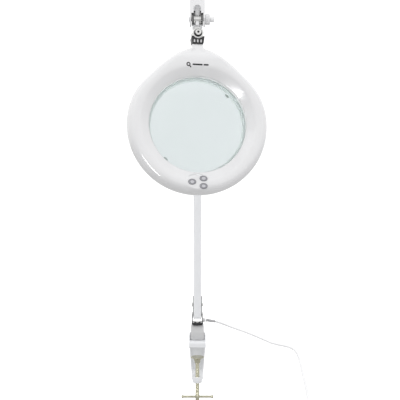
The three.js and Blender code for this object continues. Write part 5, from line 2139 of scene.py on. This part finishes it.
@dataclass
class UpperArm:
    """The arm from the elbow to the head's joint."""

    def build(self) -> None:
        """Makes the arm."""
        Arm("upper_arm", UPPER_ARM, "upper_link", "upper_link_tilt", "arm_end_level").build()


@dataclass
class Elbow:
    """Two plates that join the arms at four rivets, and a strip over their back."""

    body: str = "elbow"
    plate_radius: float = 13.0
    plate_in: float = 7.9
    plate_out: float = 9.4
    cover_out: float = 15.0
    cover_in: float = 13.2
    cover_half: float = 7.6
    nodes: tuple[str, ...] = (
        "elbow_rivet_lower_front",
        "elbow_rivet_lower_rear",
        "elbow_rivet_upper_rear",
        "elbow_rivet_upper_front",
    )

    def build(self) -> None:
        """Makes the plates, the cover strip and the rivets."""
        centres = [(low(node) + high(node)) / 2 for node in self.nodes]
        for name, side in (("elbow_plate_left", -1), ("elbow_plate_right", 1)):
            outline = band(points_of(*((p, self.plate_radius) for p in centres)), 96)
            ends = sorted((side * self.plate_in, side * self.plate_out))
            draft = prism(outline, Axis.X, *ends)
            for p in centres:
                draft.cut(rod(2.8, (-20, p.y, p.z), Axis.X, 40))
            publish(f"{name}_pressed", draft, Dress(CHROME, self.body, edge=0.3), (name,))
        self.cover(centres[1], centres[2])
        Rivets("elbow_rivets", self.body, self.nodes).build()

    def cover(self, b: Vector, c: Vector) -> None:
        """Makes the curved strip round the two rear pivots."""
        tangent = math.atan2(b.y - c.y, c.z - b.z)
        start, end = tangent - math.radians(25), tangent + math.radians(30)
        sweep = [start + (tangent - start) * i / 10 for i in range(11)]
        rise = [tangent + (end - tangent) * i / 12 for i in range(13)]

        def arc(p: Vector, r: float, angles: Sequence[float]) -> list[Vector]:
            """Returns the points of an arc round a pivot."""
            return [Vector((p.y + r * math.cos(a), p.z + r * math.sin(a))) for a in angles]

        outline = arc(b, self.cover_out, sweep) + arc(c, self.cover_out, rise)
        outline += arc(c, self.cover_in, rise[::-1]) + arc(b, self.cover_in, sweep[::-1])
        draft = prism(outline, Axis.X, -self.cover_half, self.cover_half)
        publish("elbow_cover_strip", draft, Dress(GLOSS_WHITE, self.body, edge=0.4), ("elbow_cover",))


# ---------------------------------------------------------------- base and clamp


@dataclass
class Base:
    """The swivel: a bent yoke on a spigot, the lower arm's rivets and the gland where the cord goes in."""

    body: str = "base_swivel"
    floor: float = 43.3

    def build(self) -> None:
        """Makes the yoke, its black band of painted shade, the spigot, the rivets and the gland."""
        self.yoke()
        self.shade_band()
        self.spigot()
        Rivets("base_rivets", self.body, ("base_rivet_front", "base_rivet_rear")).build()
        self.gland()

    def yoke(self) -> None:
        """Makes the yoke: narrow round the arm and wider at its foot."""
        half = [
            (11.3, self.floor, 3), (11.3, 55.4, 1.5), (9.4, 58.8, 1.5), (9.4, 99, 0),
            (7.9, 99, 0), (7.9, 59.4, 1), (9.5, 55.8, 1), (9.5, self.floor + 2.5, 1.5),
        ]
        section = rounded([*half, *((-x, z, r) for x, z, r in half[::-1])], 8)
        side = rounded(
            [(-12, self.floor - 1, 0), (-17, 52, 3), (-17, 68, 6), (-6, 98, 7), (14, 98, 7), (19.5, 84, 6),
             (19.5, 58, 6), (14, self.floor - 1, 0)], 8
        )
        draft = prism(section, Axis.Y, -25, 25).common(prism(side, Axis.X, -20, 20))
        draft.cut(rod(4.3, (0, 0, self.floor - 3), Axis.Z, 10))
        for node in ("base_rivet_front", "base_rivet_rear"):
            p = (low(node) + high(node)) / 2
            draft.cut(rod(2.8, (-20, p.y, p.z), Axis.X, 40))
        # The yoke's dark chrome is painted shade and dark reflection.
        publish("base_yoke_bent", draft, Dress(SHADED_CHROME, self.body, edge=0.3), ("base_yoke",))

    def shade_band(self) -> None:
        """Makes the black band round the yoke's foot, which it sits in: painted shade for the dark gap above
        the grey socket block.
        """
        z = self.floor
        half = [(9.8, z - 0.1, 1.6), (10.6, z + 4.4, 0.8)]
        section = rounded([*half, *((-x, h, r) for x, h, r in half[::-1])], 6)
        draft = prism(section, Axis.Y, -17.2, -12.4)
        draft.cut(box((-9, -15.6, z + 2.5), (9, -10, z + 6)))
        # The black band is painted shade.
        publish("base_yoke_foot", draft, Dress(BLACK_MOULDING_AND_SHADE, self.body, edge=0.15))

    def spigot(self) -> None:
        """Makes the spigot that turns in the grey socket, with its riveted top."""
        z = self.floor
        profile = [
            (0, 16.3), (4.6, 16.3), (5.2, 16.6), (6, 17.8), (6, 41.3), (8.6, 41.3), (9, 41.6), (9, z - 0.6)
        ]
        profile += [
            (8.7, z - 0.3), (4, z - 0.3), (4, z + 2.8), (6.6, z + 2.8), (6.5, z + 3.3), (5.9, z + 3.9)
        ]
        profile += [(4.6, z + 4.3), (2.6, z + 4.5), (0, z + 4.6)]
        publish(
            "base_spigot_turned", lathe(profile, segments=64), Dress(CHROME, self.body, shade_angle=35),
            ("base_spigot",)
        )

    def gland(self) -> None:
        """Makes the pale gland on the yoke's right cheek."""
        middle = (low("cord_gland") + high("cord_gland")) / 2
        profile = [(2.75, 0), (4.1, 0), (4.1, 1.6), (3.7, 1.9), (3.7, 4.5), (3.3, 5), (2.75, 5)]
        draft = lathe(profile, Axis.X, (low("cord_gland").x, middle.y, middle.z), 48, ring=True)
        publish("cord_gland_turned", draft, Dress(CORD_PVC, self.body, shade_angle=35), ("cord_gland",))


@dataclass
class Clamp:
    """The table clamp: cast frame, grey socket block, screw with its tommy bar, and the pad."""

    half: float = 16.8
    screw_y: float = -10.0
    screw_radius: float = 4.0
    thread_pitch: float = 1.25
    bar_height: float = -101.0

    def build(self) -> None:
        """Makes every piece of the clamp."""
        self.frame()
        self.socket()
        self.socket_screw()
        self.pad()
        self.screw()
        self.bar()

    def frame(self) -> None:
        """Makes the cast frame: jaw, spine with a pocket, lower jaw with its boss, and the tray walls."""
        h, y = self.half, self.screw_y
        side = rounded(
            [
                (-26, 0, 2), (12, 0, 1), (12, -61, 7), (y - 9, -61, 1),
                (y - 9, -72, 4), (20, -72, 16), (20, 12, 0), (-26, 12, 5),
            ],
            10,
        )
        left = [(-h, 22, 2), (-h, -2, 4), (-12.3, -58, 6), (-8.5, -72, 3)]
        front = rounded([*left, *((-x, z, r) for x, z, r in left[::-1])], 10)
        walls = prism(rounded([(-h, -8, 1), (h, -8, 1), (h, 20, 3), (-h, 20, 3)]), Axis.Z, 11, 22)
        walls.cut(box((-14.2, -20, 12), (14.2, 16.4, 30)))
        pocket = rounded([(-13.2, -4, 3), (-9.4, -53, 3), (9.4, -53, 3), (13.2, -4, 3)], 8)
        draft = prism(side, Axis.X, -h, h).common(prism(front, Axis.Y, -40, 40))
        draft.add(rod(8.6, (0, y, -72), Axis.Z, 11, 64), walls)
        draft.cut(
            prism(pocket, Axis.Y, 9, 16),
            rod(2, (0, 14, 17.2), Axis.Y, 10),
            rod(self.screw_radius + 0.3, (0, y, -90), Axis.Z, 40, 48),
        )
        publish(
            "clamp_frame_cast", draft, Dress(WHITE_PAINT, "clamp", edge=0.7, edge_steps=4), ("clamp_frame",)
        )

    def socket(self) -> None:
        """Makes the grey block that holds the spigot, with a barrel-shaped front."""
        front = rounded([(-12.8, 41, 2.5), (-13.6, 12.3, 5), (13.6, 12.3, 5), (12.8, 41, 2.5)], 10)
        curve = []
        for i in range(17):
            t = i / 16
            shares = ((1 - t) ** 2, t * (1 - t), t * t)
            y = -11 * shares[0] - 38 * shares[1] - 11.5 * shares[2]
            curve.append((y, 41 * shares[0] + 54 * shares[1] + 12.3 * shares[2]))
        side = [Vector(p) for p in ((16, 12.3), (16, 41), *curve)]
        draft = prism(side, Axis.X, -20, 20).common(prism(front, Axis.Y, -30, 30))
        draft.cut(rod(6.3, (0, 0, 16), Axis.Z, 40, 64))
        publish(
            "pin_socket_moulded", draft, Dress(SOCKET_GREY, "clamp", edge=0.8, edge_steps=4), ("pin_socket",)
        )

    def socket_screw(self) -> None:
        """Makes the screw behind the block, with a crossed recess."""
        dome = [(3.4 * math.cos(a), 4 + 2 * math.sin(a)) for a in (math.pi / 2 * i / 8 for i in range(9))]
        at = (0, 16.3, 17.2)
        draft = lathe([(0, 0), (1.7, 0), (1.7, 4), *dome], Axis.Y, at, 48)
        for angle in (0, 90):
            slot = box((-2.1, 4.9, -0.4), (2.1, 8, 0.4)).turned(Matrix.Rotation(math.radians(angle), 4, "Y"))
            draft.cut(slot.turned(Matrix.Translation(at)))
        publish("socket_screw_turned", draft, Dress(ZINC, "clamp", shade_angle=35), ("socket_screw",))

    def pad(self) -> None:
        """Makes the turned pad, with a rolled rim and a waisted neck."""
        profile = [
            (0, -21), (12.5, -21), (12.9, -21.3), (13, -21.9), (12.9, -22.6), (12.4, -23), (9.2, -23.7)
        ]
        profile += [
            (7.6, -24.8), (6.5, -27), (5.9, -30), (5.8, -32.6), (5.5, -33), (4.3, -33), (4.3, -27), (0, -27)
        ]
        draft = lathe(profile, at=(0, self.screw_y, 0), segments=72)
        publish("pressure_pad_turned", draft, Dress(ZINC, "pressure_pad", shade_angle=35), ("pressure_pad",))

    def screw(self) -> None:
        """Makes the clamp screw, threaded down to its plain end with the bar's hole."""
        r, y = self.screw_radius, self.screw_y
        top, plain, end = -27.3, -92.0, -116.0
        core = [
            (0, end), (3.2, end), (3.8, end + 0.6), (4, end + 1.5), (4, plain - 1), (3.45, plain),
            (3.45, top - 0.8)
        ]
        draft = lathe([*core, (2.8, top), (0, top)], at=(0, y, 0), segments=48)
        draft.cut(rod(2.55, (-10, y, self.bar_height), Axis.X, 20))
        length = top - 1.2 - plain
        thread = helix(length / self.thread_pitch, r - 0.45, length, 0.44, ZINC, 6)
        thread.turned(Matrix.Translation((0, y, plain)))
        dress = Dress(ZINC, "clamp_screw", shade_angle=50)
        publish("clamp_screw_threaded", draft.beside(thread), dress, ("clamp_screw",))

    def bar(self) -> None:
        """Makes the tommy bar, with a rounded stop on each end."""
        half = [(0, 32), (1.8, 31.9), (2.6, 31.4), (3, 30.6), (3, 29.2), (2.8, 28.4), (2.25, 27.7)]
        profile = [(r, -x) for r, x in half] + half[::-1]
        draft = lathe(profile, Axis.X, (0, self.screw_y, self.bar_height), 40)
        publish("tommy_bar_turned", draft, Dress(ZINC, "tommy_bar", shade_angle=35), ("tommy_bar",))

ASSEMBLIES: tuple[type, ...] = (Head, HeadJoint, ArmEnd, UpperArm, Elbow, LowerArm, Base, Clamp)


def main() -> None:
    """Builds the studio and the lamp, piece by piece."""
    logging.basicConfig(level=logging.INFO, format="%(message)s")
    studio = Studio()
    studio.camera()
    MainsCord().build()
    for assembly in ASSEMBLIES:
        LOG.info("building %s", assembly.__name__)
        assembly().build()
    studio.floor()
    studio.light()


if __name__ == "__main__":
    main()
